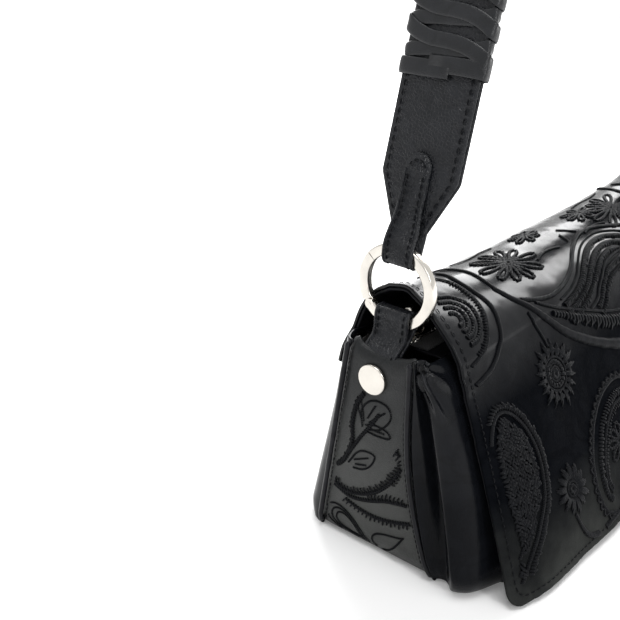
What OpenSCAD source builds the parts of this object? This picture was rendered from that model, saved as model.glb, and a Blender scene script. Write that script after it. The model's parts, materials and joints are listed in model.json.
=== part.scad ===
// Small flap bag with a shoulder strap: soft folded walls, end panels with riveted
// ring tabs, two spring gate rings, a top zip and a flap that bends at two lines.
// Origin: on the ground, below the middle of the line between the two rings.
// +X runs to the right seen from the front, the front faces -Y, and +Z is up.

/* [Body] */
// Length between the outer faces of the end panels
bag_len = 300; // [250:2:345]
// Height of the walls
wall_h = 106; // [92:1:124]
// Thickness of the outer leather
leather = 1.8; // [1.4:0.1:2.2]
// Thickness of the lining cloth
lining_t = 0.8; // [0.5:0.1:1.2]
// Thickness of the base panel
base_t = 2; // [1.5:0.1:3]
// Thickness of the stiffening board above the base panel
board_t = 1.6; // [1:0.1:2.5]
// Rear wall at the foot, measured back from the ring plane
back_foot = 47; // [42:1:54]
// Rear wall at the top
back_top = 21.5; // [19:0.5:25]
// Front wall at the foot, measured forward from the ring plane
front_foot = 61.5; // [56:0.5:68]
// Front wall at the top
front_top = 27; // [25:0.5:31]
// How much further the front wall stands out at mid length
front_bulge = 8; // [4:0.5:10]
// Radius of the rear corners along the length
corner_r = 14; // [10:1:18]

/* [Bellows folds] */
// How far the folds swell past the end seams
fold_out = 7; // [4:0.5:10]
// Depth of the valley between the two folds
fold_depth = 9; // [5:0.5:11]

/* [End seams] */
// Rear end seam at the foot
rear_seam_foot = 31; // [28:0.5:34]
// Rear end seam at the top
rear_seam_top = 14.5; // [12:0.5:17]
// Front end seam at the top
front_seam_top = 19; // [17:0.5:21]
// How much further forward the front end seam lies at the foot
front_seam_kick = 17; // [12:0.5:20]
// Radius of the corded welts on the end seams
welt_r = 1.2; // [0.9:0.1:1.6]
// How far the end panel dips between its upper corners
end_dip = 5; // [2:0.5:8]

/* [Flap] */
// Height of the flap's crest over the walls, at the ends
crest_end = 26; // [24:0.5:30]
// Height of the flap's crest over the walls, at mid length
crest_mid = 21.5; // [21:0.5:25]
// How far the crest lies in front of the ring plane
crest_y = 2; // [0:0.5:5]
// How far the front bend stands before the top of the front wall
bend_reach = 8; // [7:0.5:11]
// How far the front bend lies below the top of the walls
bend_drop = 2; // [0:0.5:5]
// Distance of the flap's lower edge before the front wall
flap_standoff = 11; // [9:0.5:15]
// Height of the flap's lower edge above the ground
flap_hem = 7; // [4:0.5:15]
// How much wider each end of the flap is at the hem than at the crest
flap_flare = 13; // [8:0.5:15]
// Height of the sewn strip that holds the flap to the rear wall
root_h = 18; // [12:1:26]
// Thickness of the flap's lining
flap_lining_t = 1.2; // [0.8:0.1:1.6]

/* [Rings] */
// Outer diameter of a ring
ring_d = 40; // [36:0.5:44]
// Width of a ring's band, across its radius
ring_band = 5; // [4:0.1:5.5]
// Thickness of a ring along its axis
ring_t = 4; // [3:0.1:5]
// Distance from a ring's middle plane to the end of the bag
ring_inset = 14; // [13:0.5:17]
// Height of the lowest point of a ring over the walls
ring_rise = 6; // [5:0.5:9]
// Diameter of a gate's pin
gate_pin_d = 1.4; // [1:0.1:1.8]
// Thickness of the gate's tongue
gate_tongue_t = 1.5; // [1.2:0.1:1.8]
// Angle of the gate's pin, from the top of the ring towards the back
gate_low = 130; // [126:1:136]
// Angle of the gate's free end
gate_high = 48; // [42:1:54]

/* [Ring tabs and rivets] */
// Width of the leather tab below a ring
tab_w = 18; // [14:0.5:20]
// Diameter of a rivet's cap
rivet_d = 14.5; // [10:0.5:17]
// Thickness of a rivet's cap
rivet_cap_t = 1.4; // [1:0.1:2]
// Diameter of a rivet's post
rivet_post_d = 4; // [3:0.1:5]
// Distance from the top of the walls down to a rivet
rivet_drop = 14; // [12:0.5:20]
// Diameter of the washer inside the lining
washer_d = 10; // [8:0.5:12]
// Thickness of that washer
washer_t = 0.8; // [0.5:0.1:1.2]

/* [Zip] */
// Clear width between the two rows of teeth
zip_gap = 6; // [5:0.1:7]
// Width of a row of teeth
tooth_w = 1.6; // [1.2:0.1:2]
// Height of a row of teeth
tooth_h = 2.6; // [2:0.1:3]
// Pitch of the teeth
tooth_pitch = 3; // [2:0.5:4]
// Width of a zip tape
tape_w = 9; // [7:0.5:11]
// Thickness of a zip tape
tape_t = 0.6; // [0.4:0.1:0.8]
// Thickness of the strips that carry the tapes
strip_t = 1.2; // [0.8:0.1:1.6]
// Length of the slider
slider_l = 12; // [9:0.5:14]
// Thickness of the slider's plates
slider_t = 1.1; // [0.8:0.1:1.4]
// Length of the pull, from its pin to the middle of its tip
pull_l = 11; // [8:0.5:12]
// Size of the pull's cut tip
pull_tip = 4.4; // [3:0.1:5]

/* [Snap] */
// Height of the snap above the ground
snap_z = 38; // [28:1:48]
// Diameter of the two snap discs
snap_d = 16; // [12:0.5:20]
// Thickness of each snap disc
snap_t = 1.4; // [1:0.1:1.8]
// Diameter of the snap's stud
stud_d = 6; // [4:0.5:8]
// Height of the snap's stud
stud_h = 0.8; // [0.5:0.1:1]

/* [Strap] */
// Width of the strap
strap_w = 41; // [34:1:46]
// Height of the strap's arch over the ring centres
strap_rise = 282; // [220:2:320]
// Inward lean of the strap where it leaves a ring
strap_lean = 17.5; // [14:0.5:21]
// Thickness of the strap's two leather layers
strap_ply = 1.7; // [1.4:0.1:2]
// Thickness of the padding between them
core_t = 1.4; // [1:0.1:2]
// Width of the strap's pointed end
point_w = 16; // [12:0.5:20]
// Height over the ring centre at which the strap reaches its full width
point_top = 46; // [42:1:54]
// Width of the keeper tab at the ring
keeper_w = 17; // [13:0.5:19]
// Width of the keeper tab on the strap
keeper_neck = 12.5; // [10:0.5:14]
// Height of the top of the keeper tab over the ring centre
keeper_top = 57; // [50:1:64]
// Height over the ring centre at which the lacing starts
lacing_start = 86; // [74:1:100]
// Thickness of the lacing
lace_t = 1.5; // [1:0.1:2]

/* [Hidden] */

// Clearance between soft neighbours
fit = 0.3;
// Clearance of a pin in its hole, across the radius
pin_fit = 0.05;

leather_colour = [0.13, 0.13, 0.14];
edge_colour = [0.08, 0.08, 0.08];
cloth_colour = [0.22, 0.2, 0.19];
metal_colour = [0.78, 0.76, 0.72];

half = bag_len / 2;
// The plane in which the walls meet the end panels
seam_x = half - 1;
wall_low = base_t + fit;
// Heights of the rows of points on the walls, as shares, closer together at the foot
wall_steps = [0, 0.02, 0.045, 0.075, 0.16, 0.25, 0.34, 0.44, 0.54, 0.64, 0.74, 0.84, 0.92, 1];

ring_r = ring_d / 2;
ring_inner = ring_r - ring_band;
ring_x = half - ring_inset;
ring_z = wall_h + ring_rise + ring_r;

zip_z = wall_h - 3;
zip_half = half - 20;
teeth_half = zip_half - 3;
row_y = zip_gap / 2;
slider_x = -(teeth_half - slider_l / 2 - 1);

tuck_h = 10;
tuck_in = 5;

function mix(a, b, t) = a + (b - a) * t;
function flatten(list) = [for (part = list) for (item = part) item];
function unit(v) = v / norm(v);

// Walls as functions of the height, all as distances from the ring plane
function tuck(z) = z < tuck_h ? tuck_in * pow(1 - z / tuck_h, 2) : 0;
function back_y(z) = mix(back_foot, back_top, z / wall_h) - tuck(z);
function front_end_y(z) = -mix(front_foot, front_top, pow(z / wall_h, 1.6)) + tuck(z) / 2;
function front_y(x, z) = front_end_y(z) - front_bulge * (1 - pow(x / half, 2)) * (1 - pow(z / wall_h, 2));
function rear_seam_y(z) = mix(rear_seam_foot, rear_seam_top, z / wall_h);
function front_seam_y(z) = -front_seam_top - front_seam_kick * pow(max(0, 1 - z / (0.74 * wall_h)), 2);
function fold_swell(z) = 1 + (fold_out - 1) * pow(max(0, 1 - z / wall_h), 1.5);
function fold_valley(z) = fold_depth * pow(sin(180 * min(1, max(0, (z - 1) / wall_h))), 0.7);

// Cubic curve through points: value at u from 0 to 1
function knot(p, i) = i < 0 ? 2 * p[0] - p[1]
  : i >= len(p) ? 2 * p[len(p) - 1] - p[len(p) - 2] : p[i];
function through(p, u) =
  let (s = u * (len(p) - 1), i = min(floor(s), len(p) - 2), f = s - i,
       a = knot(p, i - 1), b = knot(p, i), c = knot(p, i + 1), d = knot(p, i + 2))
  0.5 * (2 * b + (c - a) * f + (2 * a - 5 * b + 4 * c - d) * f * f + (3 * b - a - 3 * c + d) * f * f * f);

// Closed sheet between two grids of points, given as rows from the outside
module sheet(outer, inner) {
  m = len(outer);
  n = len(outer[0]);
  k = m * n;
  function at(side, i, j) = side * k + i * n + j;
  faces = concat(
    flatten([for (i = [0:m - 2]) flatten([for (j = [0:n - 2]) [
      [at(0, i, j), at(0, i + 1, j + 1), at(0, i, j + 1)],
      [at(0, i, j), at(0, i + 1, j), at(0, i + 1, j + 1)],
      [at(1, i, j), at(1, i, j + 1), at(1, i + 1, j + 1)],
      [at(1, i, j), at(1, i + 1, j + 1), at(1, i + 1, j)]]])]),
    flatten([for (i = [0:m - 2]) [
      [at(0, i, 0), at(1, i + 1, 0), at(0, i + 1, 0)],
      [at(0, i, 0), at(1, i, 0), at(1, i + 1, 0)],
      [at(0, i, n - 1), at(1, i + 1, n - 1), at(1, i, n - 1)],
      [at(0, i, n - 1), at(0, i + 1, n - 1), at(1, i + 1, n - 1)]]]),
    flatten([for (j = [0:n - 2]) [
      [at(0, 0, j), at(1, 0, j + 1), at(1, 0, j)],
      [at(0, 0, j), at(0, 0, j + 1), at(1, 0, j + 1)],
      [at(0, m - 1, j), at(1, m - 1, j + 1), at(0, m - 1, j + 1)],
      [at(0, m - 1, j), at(1, m - 1, j), at(1, m - 1, j + 1)]]]));
  polyhedron(points = concat(flatten(outer), flatten(inner)), faces = faces, convexity = 8);
}

// Grid moved along its own normals by a distance
function grid_normal(g, i, j) =
  let (m = len(g) - 1, n = len(g[0]) - 1,
       along = g[i][min(n, j + 1)] - g[i][max(0, j - 1)],
       up = g[min(m, i + 1)][j] - g[max(0, i - 1)][j])
  unit(cross(along, up));
function moved(g, by) = [for (i = [0:len(g) - 1]) [for (j = [0:len(g[0]) - 1])
  g[i][j] + by * grid_normal(g, i, j)]];

// Solid through closed loops of points, one above the other
module loft(loops) {
  n = len(loops[0]);
  m = len(loops);
  sides = flatten([for (i = [0:m - 2]) flatten([for (j = [0:n - 1]) let (k = (j + 1) % n) [
    [i * n + j, (i + 1) * n + j, (i + 1) * n + k],
    [i * n + j, (i + 1) * n + k, i * n + k]]])]);
  low = [[for (j = [0:n - 1]) j]];
  high = [[for (j = [n - 1:-1:0]) (m - 1) * n + j]];
  polyhedron(points = flatten(loops), faces = concat(sides, low, high), convexity = 8);
}

// Rear wall: half a section from the end seam round the corner, then its mirror image
function back_half(z) = concat(
  [for (a = [0:15:90]) [-seam_x + corner_r * (1 - cos(a)), mix(rear_seam_y(z), back_y(z), sin(a)), z]],
  [[-half / 2, back_y(z), z]]);
function back_row(z) = let (h = back_half(z))
  concat(h, [[0, back_y(z), z]], [for (i = [len(h) - 1:-1:0]) [-h[i][0], h[i][1], z]]);
wall_rows = [for (f = wall_steps) mix(wall_low, wall_h, f)];

module back_panel() {
  grid = [for (z = wall_rows) back_row(z)];
  color(leather_colour) sheet(moved(grid, leather), grid);
}

// Front wall: the end seam, two bellows folds with a valley between them, then the flat front
function fold_knots(z) =
  let (a = front_seam_y(z), d = a - front_end_y(z), out = fold_swell(z), dip = fold_valley(z))
  [[-seam_x, a], [-seam_x - 0.8 * out, a - 0.17 * d], [-seam_x - 0.55 * out + 0.15 * dip, a - 0.36 * d],
   [-seam_x - out + dip, a - 0.48 * d], [-seam_x - 0.7 * out + 0.1 * dip, a - 0.67 * d],
   [-seam_x + 3, a - 0.91 * d], [-seam_x + 17, a - d]];
front_stops = [0.72, 0.54, 0.36, 0.18];
function front_half(z) = concat(
  [for (i = [0:18]) let (p = through(fold_knots(z), i / 18))
    [p[0], p[1] + front_y(p[0], z) - front_end_y(z), z]],
  [for (f = front_stops) [-f * half, front_y(-f * half, z), z]]);
function front_row(z) = let (h = front_half(z))
  concat(h, [[0, front_y(0, z), z]], [for (i = [len(h) - 1:-1:0]) [-h[i][0], h[i][1], z]]);

module front_panel() {
  grid = [for (z = wall_rows) front_row(z)];
  color(leather_colour) sheet(grid, moved(grid, -leather));
}

// Base panel and its board: flat plates inside the foot of the walls
module foot_plate(inset, low, high) {
  r = 12;
  x = seam_x - inset;
  back = back_y(wall_low) - inset;
  front = front_end_y(wall_low) + inset;
  translate([0, 0, low]) linear_extrude(high - low) polygon(concat(
    [for (a = [0:15:90]) [x - r + r * cos(a), back - r + r * sin(a)]],
    [for (a = [90:15:180]) [-x + r + r * cos(a), back - r + r * sin(a)]],
    [for (a = [180:15:270]) [-x + r + r * cos(a), front + r + r * sin(a)]],
    [for (a = [270:15:360]) [x - r + r * cos(a), front + r + r * sin(a)]]));
}
module base_panel() {
  color(leather_colour) foot_plate(0, 0, base_t);
}
module base_board() {
  color(edge_colour) foot_plate(12, base_t + fit, base_t + fit + board_t);
}

// End panel: a flat plate between its two seams, with a hole for the rivet
rivet_z = wall_h - rivet_drop;
rivet_y = 1;
module rivet_bore() {
  translate([-half - 10, rivet_y, rivet_z]) rotate([0, 90, 0])
    cylinder(h = 30, r = rivet_post_d / 2 + pin_fit, $fn = 48);
}
module end_panel() {
  steps = 12;
  top = wall_h + 1;
  outline = concat(
    [for (i = [0:steps]) let (z = mix(wall_low, top, i / steps)) [rear_seam_y(z) - fit, z]],
    [for (i = [1:7]) let (f = i / 8)
      [mix(rear_seam_y(top), front_seam_y(top), f), top - end_dip * sin(180 * f)]],
    [for (i = [steps:-1:0]) let (z = mix(wall_low, top, i / steps)) [front_seam_y(z) + fit, z]]);
  color(leather_colour) difference() {
    translate([-half, 0, 0]) rotate([90, 0, 90]) linear_extrude(leather) polygon(outline);
    rivet_bore();
  }
}

// Welts: a cord along each of the two end seams, outside the end panel
module welt(seam) {
  steps = 12;
  centre = [for (i = [0:steps]) let (z = mix(welt_r + fit, wall_h + 1, i / steps)) [z, seam == 0
    ? rear_seam_y(z) : front_seam_y(z)]];
  loft([for (p = centre) [for (a = [0:45:315])
    [-half - welt_r - 0.1 + welt_r * cos(a), p[1] + welt_r * sin(a), p[0]]]]);
}
module welts() {
  color(edge_colour) {
    welt(0);
    welt(1);
  }
}

// Lining: an open pouch inside the walls and the ring tabs, in five panels
tab_t = 2 * leather;
pouch_x = half - leather - fit - tab_t - fit;
pouch_low = base_t + board_t + 2 * fit;
pouch_high = zip_z - strip_t - 2 * fit;
function pouch_loop(z, in) =
  let (x = pouch_x - in, back = back_y(z) - leather - fit - in,
       front = front_end_y(z) + leather + fit + in, seam = front_seam_y(z) + leather + in,
       mid = mix(seam, front, 0.5), end = rear_seam_y(z) - leather - in,
       left = [[-x, end], [-x, seam], [-x + 6, mid], [-x + 20, front + 1], [-half / 2, front]])
  concat([for (p = left) [p[0], p[1], z]], [for (i = [4:-1:0]) [-left[i][0], left[i][1], z]],
    [[x - 9, back, z], [-x + 9, back, z]]);
module pouch() {
  between = [for (z = wall_rows) if (z > pouch_low + lining_t + 1 && z < pouch_high - 1) z];
  outer = [for (z = concat([pouch_low], between, [pouch_high])) pouch_loop(z, 0)];
  inner = [for (z = concat([pouch_low + lining_t], between, [pouch_high + 1])) pouch_loop(z, lining_t)];
  difference() {
    loft(outer);
    loft(inner);
  }
}
// The pouch is sewn from five panels, each cut out of it by a block
corner_x = pouch_x - 20;
pouch_floor = pouch_low + lining_t;
module lining_cut(x0, x1, y0, y1, z0, z1) {
  color(cloth_colour) intersection() {
    pouch();
    translate([x0, y0, z0]) cube([x1 - x0, y1 - y0, z1 - z0]);
  }
}
module lining_floor() {
  lining_cut(-half, half, -half, half, 0, pouch_floor);
}
module lining_wall(y0, y1) {
  lining_cut(-corner_x + fit / 2, corner_x - fit / 2, y0, y1, pouch_floor + fit, wall_h);
}
module lining_end() {
  difference() {
    lining_cut(-half, -corner_x - fit / 2, -half, half, pouch_floor + fit, wall_h);
    rivet_bore();
  }
}

// Zip: strips, tapes, rows of teeth, end stops, slider and pull
module zip_strip(low, high) {
  color(leather_colour) translate([-zip_half, low, zip_z - fit - strip_t])
    cube([2 * zip_half, high - low, strip_t]);
}
module zip_strip_front() {
  zip_strip(front_end_y(zip_z) + leather + fit, -row_y - tooth_w - 2.4);
}
module zip_strip_rear() {
  zip_strip(row_y + tooth_w + 2.4, back_y(zip_z) - leather - fit);
}
module zip_tape() {
  color(edge_colour) translate([-zip_half, row_y + tooth_w + 0.2, zip_z])
    cube([2 * zip_half, tape_w, tape_t]);
}
module zip_tape_rear() {
  zip_tape();
}
module zip_tape_front() {
  mirror([0, 1, 0]) zip_tape();
}
tooth_low = zip_z + tape_t / 2 - tooth_h / 2;
module zip_teeth() {
  count = floor(2 * teeth_half / tooth_pitch);
  bead = 0.5;
  color(metal_colour) translate([0, row_y, tooth_low]) linear_extrude(tooth_h) union() {
    translate([-teeth_half, tooth_w - bead]) square([2 * teeth_half, bead]);
    for (i = [0:count - 1])
      translate([(i + 0.5 - count / 2) * tooth_pitch - tooth_pitch / 4, 0])
        square([tooth_pitch / 2, tooth_w]);
  }
}
module zip_teeth_rear() {
  zip_teeth();
}
module zip_teeth_front() {
  mirror([0, 1, 0]) zip_teeth();
}
module zip_end_stops() {
  stop_l = 2;
  color(metal_colour) for (side = [-1, 1])
    translate([side * (teeth_half + 0.4 + stop_l / 2), 0, tooth_low + tooth_h / 2])
      cube([stop_l, 2 * (row_y + tooth_w), tooth_h], center = true);
}
slider_w = 2 * (row_y + tooth_w) + 2;
pull_pin_r = 0.8;
pull_z = tooth_low + tooth_h + slider_t + 2.6;
module zip_slider() {
  top = tooth_low + tooth_h + 0.2;
  low = tooth_low - 0.2 - slider_t;
  lip = 0.8;
  color(metal_colour) translate([slider_x, 0, 0]) {
    translate([-slider_l / 2, -slider_w / 2, top]) cube([slider_l, slider_w, slider_t]);
    translate([-slider_l / 2, -slider_w / 2, low]) cube([slider_l, slider_w, slider_t]);
    translate([-2, -row_y + 0.8, low]) cube([4, 2 * row_y - 1.6, top - low + slider_t]);
    for (side = [-1, 1]) {
      translate([-slider_l / 2, side * (slider_w - lip) / 2 - lip / 2, zip_z + tape_t + 0.2])
        cube([slider_l, lip, top - zip_z - tape_t]);
      translate([-1.6, side * 2 - 0.6, top]) cube([3.2, 1.2, pull_z - top + pull_pin_r]);
    }
    translate([0, 0, pull_z]) rotate([90, 0, 0])
      cylinder(h = 4.4, r = pull_pin_r, center = true, $fn = 32);
  }
}
pull_lean = 30;
module zip_pull() {
  eye_t = 2;
  c = pull_tip / 2;
  b = 0.55 * c;
  color(metal_colour) translate([slider_x, 0, pull_z]) rotate([0, -pull_lean, 0]) difference() {
    union() {
      rotate([90, 0, 0]) cylinder(h = eye_t, r = pull_pin_r + 1.2, center = true, $fn = 32);
      translate([0, 0, 1.4]) cylinder(h = pull_l - 1.4, r = 0.9, $fn = 24);
      translate([0, 0, pull_l]) intersection() {
        cube(2 * c, center = true);
        rotate([45, 0, 0]) cube(2 * (b + 0.45 * c) * 1.25, center = true);
        rotate([0, 45, 0]) cube(2 * (b + 0.45 * c) * 1.25, center = true);
      }
    }
    rotate([90, 0, 0]) cylinder(h = eye_t + 2, r = pull_pin_r + pin_fit, center = true, $fn = 32);
  }
}

// Tab below a ring: a loop round the band, then two plies behind the end panel
function round_box(x0, x1, z0, z1, r) = flatten([for (q = [0:3]) [for (a = [0:18:90])
  let (cx = q == 0 || q == 3 ? x1 - r : x0 + r, cz = q < 2 ? z1 - r : z0 + r)
  [cx + r * cos(a + 90 * q), cz + r * sin(a + 90 * q)]]]);
function loop_near(w) = sqrt(ring_inner * ring_inner - w * w / 4) - fit;
loop_far = ring_r + fit;
loop_x = ring_t / 2 + fit;
module along_y(width) {
  rotate([90, 0, 0]) translate([0, 0, -width / 2]) linear_extrude(width) children();
}
module ring_tab() {
  plane = -half + leather + fit + tab_t / 2;
  elbow = wall_h - 3;
  joint = ring_z - loop_far - leather / 2;
  foot = rivet_z - 9;
  lean = atan2(joint - elbow, -ring_x - plane) / 2 + 45;
  shift = tab_t / 2 / sin(lean) * [sin(lean), -cos(lean)];
  h = tab_t / 2;
  color(leather_colour) difference() {
    along_y(tab_w) difference() {
      union() {
        polygon(round_box(-ring_x - loop_x - leather, -ring_x + loop_x + leather,
          ring_z - loop_far - leather, ring_z - loop_near(tab_w) + leather, loop_x));
        polygon([[plane - h, foot], [plane + h, foot], [plane + h, elbow + shift[1]],
          [-ring_x + h, joint - h], [-ring_x + h / 2, joint], [-ring_x - h / 2, joint],
          [-ring_x - h - 1, joint - h / 2], [plane - h, elbow - shift[1]]]);
      }
      polygon(round_box(-ring_x - loop_x, -ring_x + loop_x,
        ring_z - loop_far, ring_z - loop_near(tab_w), 1));
    }
    rivet_bore();
  }
}
module rivet() {
  inner = pouch_x - lining_t - washer_t - 0.6;
  color(metal_colour) translate([0, rivet_y, rivet_z]) rotate([0, 90, 0]) {
    translate([0, 0, -half - rivet_cap_t]) cylinder(h = rivet_cap_t, r = rivet_d / 2, $fn = 64);
    translate([0, 0, -half - 0.01]) cylinder(h = half - inner, r = rivet_post_d / 2, $fn = 48);
  }
}
module rivet_washer() {
  color(metal_colour) translate([-pouch_x + lining_t + 0.05, rivet_y, rivet_z]) rotate([0, 90, 0])
    difference() {
      cylinder(h = washer_t, r = washer_d / 2, $fn = 48);
      translate([0, 0, -1]) cylinder(h = washer_t + 2, r = rivet_post_d / 2 + pin_fit, $fn = 48);
    }
}

// Ring with a gate that opens inwards about a pin
gate_r = ring_r - ring_band / 2;
gate_pin = gate_r * [sin(gate_low), cos(gate_low)];
gate_tip = ring_r * [sin(gate_high), cos(gate_high)];
gate_sweep = norm(gate_tip - gate_pin);
knuckle = ring_band / 2;
module along_x(thickness) {
  rotate([90, 0, 90]) translate([0, 0, -thickness / 2]) linear_extrude(thickness) children();
}
module bar_x(thickness, r) {
  translate([0, gate_pin[0], gate_pin[1]]) rotate([0, 90, 0])
    cylinder(h = thickness, r = r, center = true, $fn = 64);
}
module band() {
  rotate([0, 90, 0]) difference() {
    cylinder(h = ring_t, r = ring_r, center = true, $fn = 96);
    cylinder(h = ring_t + 2, r = ring_inner, center = true, $fn = 96);
  }
}
// Side of the ring before the pin, out to past the gate's tip
module gate_side() {
  along_x(ring_t + 2) polygon(concat([[0, 0]],
    [for (i = [0:4]) let (a = mix(5, gate_low, i / 4)) 2 * ring_r * [sin(a), cos(a)]]));
}
module ring_body() {
  difference() {
    union() {
      difference() {
        band();
        intersection() {
          gate_side();
          bar_x(ring_t + 1, gate_sweep + fit);
        }
      }
      bar_x(ring_t, knuckle);
    }
    bar_x(gate_tongue_t + 2 * fit, knuckle + fit);
    bar_x(ring_t + 2, gate_pin_d / 2 + pin_fit);
  }
}
module gate_body() {
  difference() {
    union() {
      intersection() {
        band();
        gate_side();
        bar_x(ring_t, gate_sweep);
      }
      bar_x(gate_tongue_t, knuckle);
    }
    for (side = [-1, 1])
      translate([side * (gate_tongue_t / 2 + 2), 0, 0]) bar_x(4, knuckle + fit);
    bar_x(ring_t + 2, gate_pin_d / 2 + pin_fit);
  }
}
module at_ring() {
  translate([-ring_x, 0, ring_z]) children();
}
module ring() {
  color(metal_colour) at_ring() ring_body();
}
module gate() {
  color(metal_colour) at_ring() gate_body();
}
module gate_pin() {
  color(metal_colour) at_ring() bar_x(ring_t - 0.2, gate_pin_d / 2);
}

// Flap: its section at the ends and at mid length, joined by a short curve near each end
root_z = wall_h + 1;
root_y = back_y(root_z) + fit + leather;
bend_y = front_end_y(wall_h) - bend_reach;
bend_z = wall_h - bend_drop;
hem_end_y = -front_foot - flap_standoff;
hem_mid_y = hem_end_y - front_bulge - 2;
// Point of a rounded corner that bulges with n, at t from 0 to 1
function corner(t, n) = [pow(sin(90 * t), 2 / n), pow(cos(90 * t), 2 / n)];
function top_section(t, crest, n) = t < 0.4
  ? let (c = corner(t / 0.4, 2)) [mix(-crest_y, root_y, c[1]), mix(root_z, crest, c[0])]
  : let (c = corner((t - 0.4) / 0.6, n)) [mix(-crest_y, bend_y, c[0]), mix(bend_z, crest, c[1])];
function end_drop(t) = [mix(bend_y, hem_end_y, pow(t, 0.95)), mix(bend_z, flap_hem, t)];
// At mid length the front of the flap passes over the snap, which sets its distance from the wall
snap_lean = atan((front_y(0, snap_z + 8) - front_y(0, snap_z - 8)) / 16);
flap_lean = atan((bend_y - hem_mid_y) / (bend_z - flap_hem));
snap_wall = [0, front_y(0, snap_z), snap_z];
snap_room = 2 * snap_t + 4 * fit + snap_d / 2 * tan(abs(flap_lean - snap_lean));
flap_stack = leather + fit + flap_lining_t + fit;
drop_knots = [[bend_y, bend_z], [snap_wall[1] - (snap_room + flap_stack) / cos(snap_lean), snap_z],
  [hem_mid_y, flap_hem]];
snap_share = (bend_z - snap_z) / (bend_z - flap_hem);
function mid_drop(t) = through(drop_knots, t < snap_share ? t / snap_share / 2
  : 0.5 + (t - snap_share) / (1 - snap_share) / 2);
crest = wall_h + crest_end;
function flap_end_x(z) = -(ring_x - ring_t / 2 - 3) - flap_flare * pow(max(0, 1 - z / crest), 0.8);
end_blend = 22;
flap_columns = [0, 0.02, 0.05, 0.1, 0.16, 0.25, 0.4, 0.7, 1];
function flap_point(end, mid, f) =
  let (x0 = flap_end_x(end[1]), x = x0 * (1 - f), w = 1 - exp((x0 - x) / end_blend))
  [x, mix(end[0], mid[0], w), mix(end[1], mid[1], w)];
function flap_row(end, mid) = let (h = [for (f = flap_columns) flap_point(end, mid, f)], n = len(h))
  concat(h, [for (i = [n - 2:-1:0]) [-h[i][0], h[i][1], h[i][2]]]);
// A seam between two flap pieces is drawn back by half the clearance
function clear_ends(i, n, length) = i == 0 ? fit / 2 / length : i == n ? 1 - fit / 2 / length : i / n;
top_rows = 16;
drop_rows = 8;
top_grid = [for (i = [0:top_rows]) let (t = clear_ends(i, top_rows, root_y - bend_y))
  flap_row(top_section(t, crest, 1.25), top_section(t, wall_h + crest_mid, 1.5))];
drop_grid = [for (i = [0:drop_rows]) let (t = clear_ends(i, drop_rows, bend_z - flap_hem))
  flap_row(end_drop(t), mid_drop(t))];
module flap_root() {
  low = root_z - root_h;
  x = -flap_end_x(root_z);
  color(leather_colour) rotate([90, 0, 90]) translate([0, 0, -x]) linear_extrude(2 * x)
    polygon([[back_y(low) + fit, low], [back_y(low) + fit + leather, low],
      [root_y, root_z - fit / 2], [root_y - leather, root_z - fit / 2]]);
}
module flap_top() {
  color(leather_colour) sheet(moved(top_grid, leather), top_grid);
}
module flap_front() {
  color(leather_colour) sheet(moved(drop_grid, leather), drop_grid);
}
module flap_top_lining() {
  near = leather + fit;
  color(edge_colour) sheet(moved(top_grid, near + flap_lining_t), moved(top_grid, near));
}
module flap_front_lining() {
  near = leather + fit;
  color(edge_colour) sheet(moved(drop_grid, near + flap_lining_t), moved(drop_grid, near));
}

// Snap: a stud under the flap lining meets a socket on the front wall
module at_snap(distance) {
  translate(snap_wall) rotate([90 - snap_lean, 0, 0]) translate([0, 0, distance]) children();
}
module snap_socket() {
  color(metal_colour) at_snap(fit) difference() {
    cylinder(h = snap_t, r = snap_d / 2, $fn = 64);
    translate([0, 0, snap_t - stud_h - fit]) cylinder(h = snap_t, r = stud_d / 2 + 2 * fit, $fn = 48);
  }
}
module snap_socket_washer() {
  color(metal_colour) at_snap(-leather - fit - washer_t) cylinder(h = washer_t, r = washer_d / 2, $fn = 48);
}
module snap_stud() {
  low = fit + snap_t + fit;
  color(metal_colour) at_snap(low) {
    cylinder(h = snap_t, r = snap_d / 2, $fn = 64);
    translate([0, 0, -stud_h]) cylinder(h = stud_h + 0.1, r = stud_d / 2, $fn = 48);
  }
}

// Strap: an arch from ring to ring, drawn as a curve with its normals
lean_reach = 0.71 * strap_rise;
crown_reach = 0.46 * ring_x;
p0 = [-ring_x, 0];
p1 = p0 + lean_reach * [sin(strap_lean), cos(strap_lean)];
p3 = [0, strap_rise];
p2 = p3 - [crown_reach, 0];
function arch(t) = pow(1 - t, 3) * p0 + 3 * pow(1 - t, 2) * t * p1 + 3 * (1 - t) * t * t * p2
  + pow(t, 3) * p3;
function arch_slope(t) = unit(3 * pow(1 - t, 2) * (p1 - p0) + 6 * (1 - t) * t * (p2 - p1)
  + 3 * t * t * (p3 - p2));
function arch_out(t) = let (s = arch_slope(t)) [-s[1], s[0]];
// Place on the arch at a height over the ring centre
function arch_at(z, low = 0, high = 1, left = 24) = let (m = (low + high) / 2)
  left == 0 ? m : arch(m)[1] < z ? arch_at(z, m, high, left - 1) : arch_at(z, low, m, left - 1);
function side_line(t0, t1, n, out) = [for (i = [0:n])
  let (t = mix(t0, t1, i / n)) arch(t) + out * arch_out(t)];
function flip(line) = [for (i = [len(line) - 1:-1:0]) [-line[i][0], line[i][1]]];
// Outline of a strip that follows the whole arch between two offsets
function arch_strip(t0, near, far) =
  let (a = side_line(t0, 1, 20, near), b = side_line(t0, 1, 20, far),
       inner = concat(a, [for (i = [1:20]) flip(a)[i]]), outer = concat(b, [for (i = [1:20]) flip(b)[i]]))
  concat(inner, [for (i = [len(outer) - 1:-1:0]) outer[i]]);
strap_half_t = core_t / 2 + fit / 2 + strap_ply;
point_low = loop_far + leather + fit + (strap_half_t + fit) * sin(strap_lean);
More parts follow.
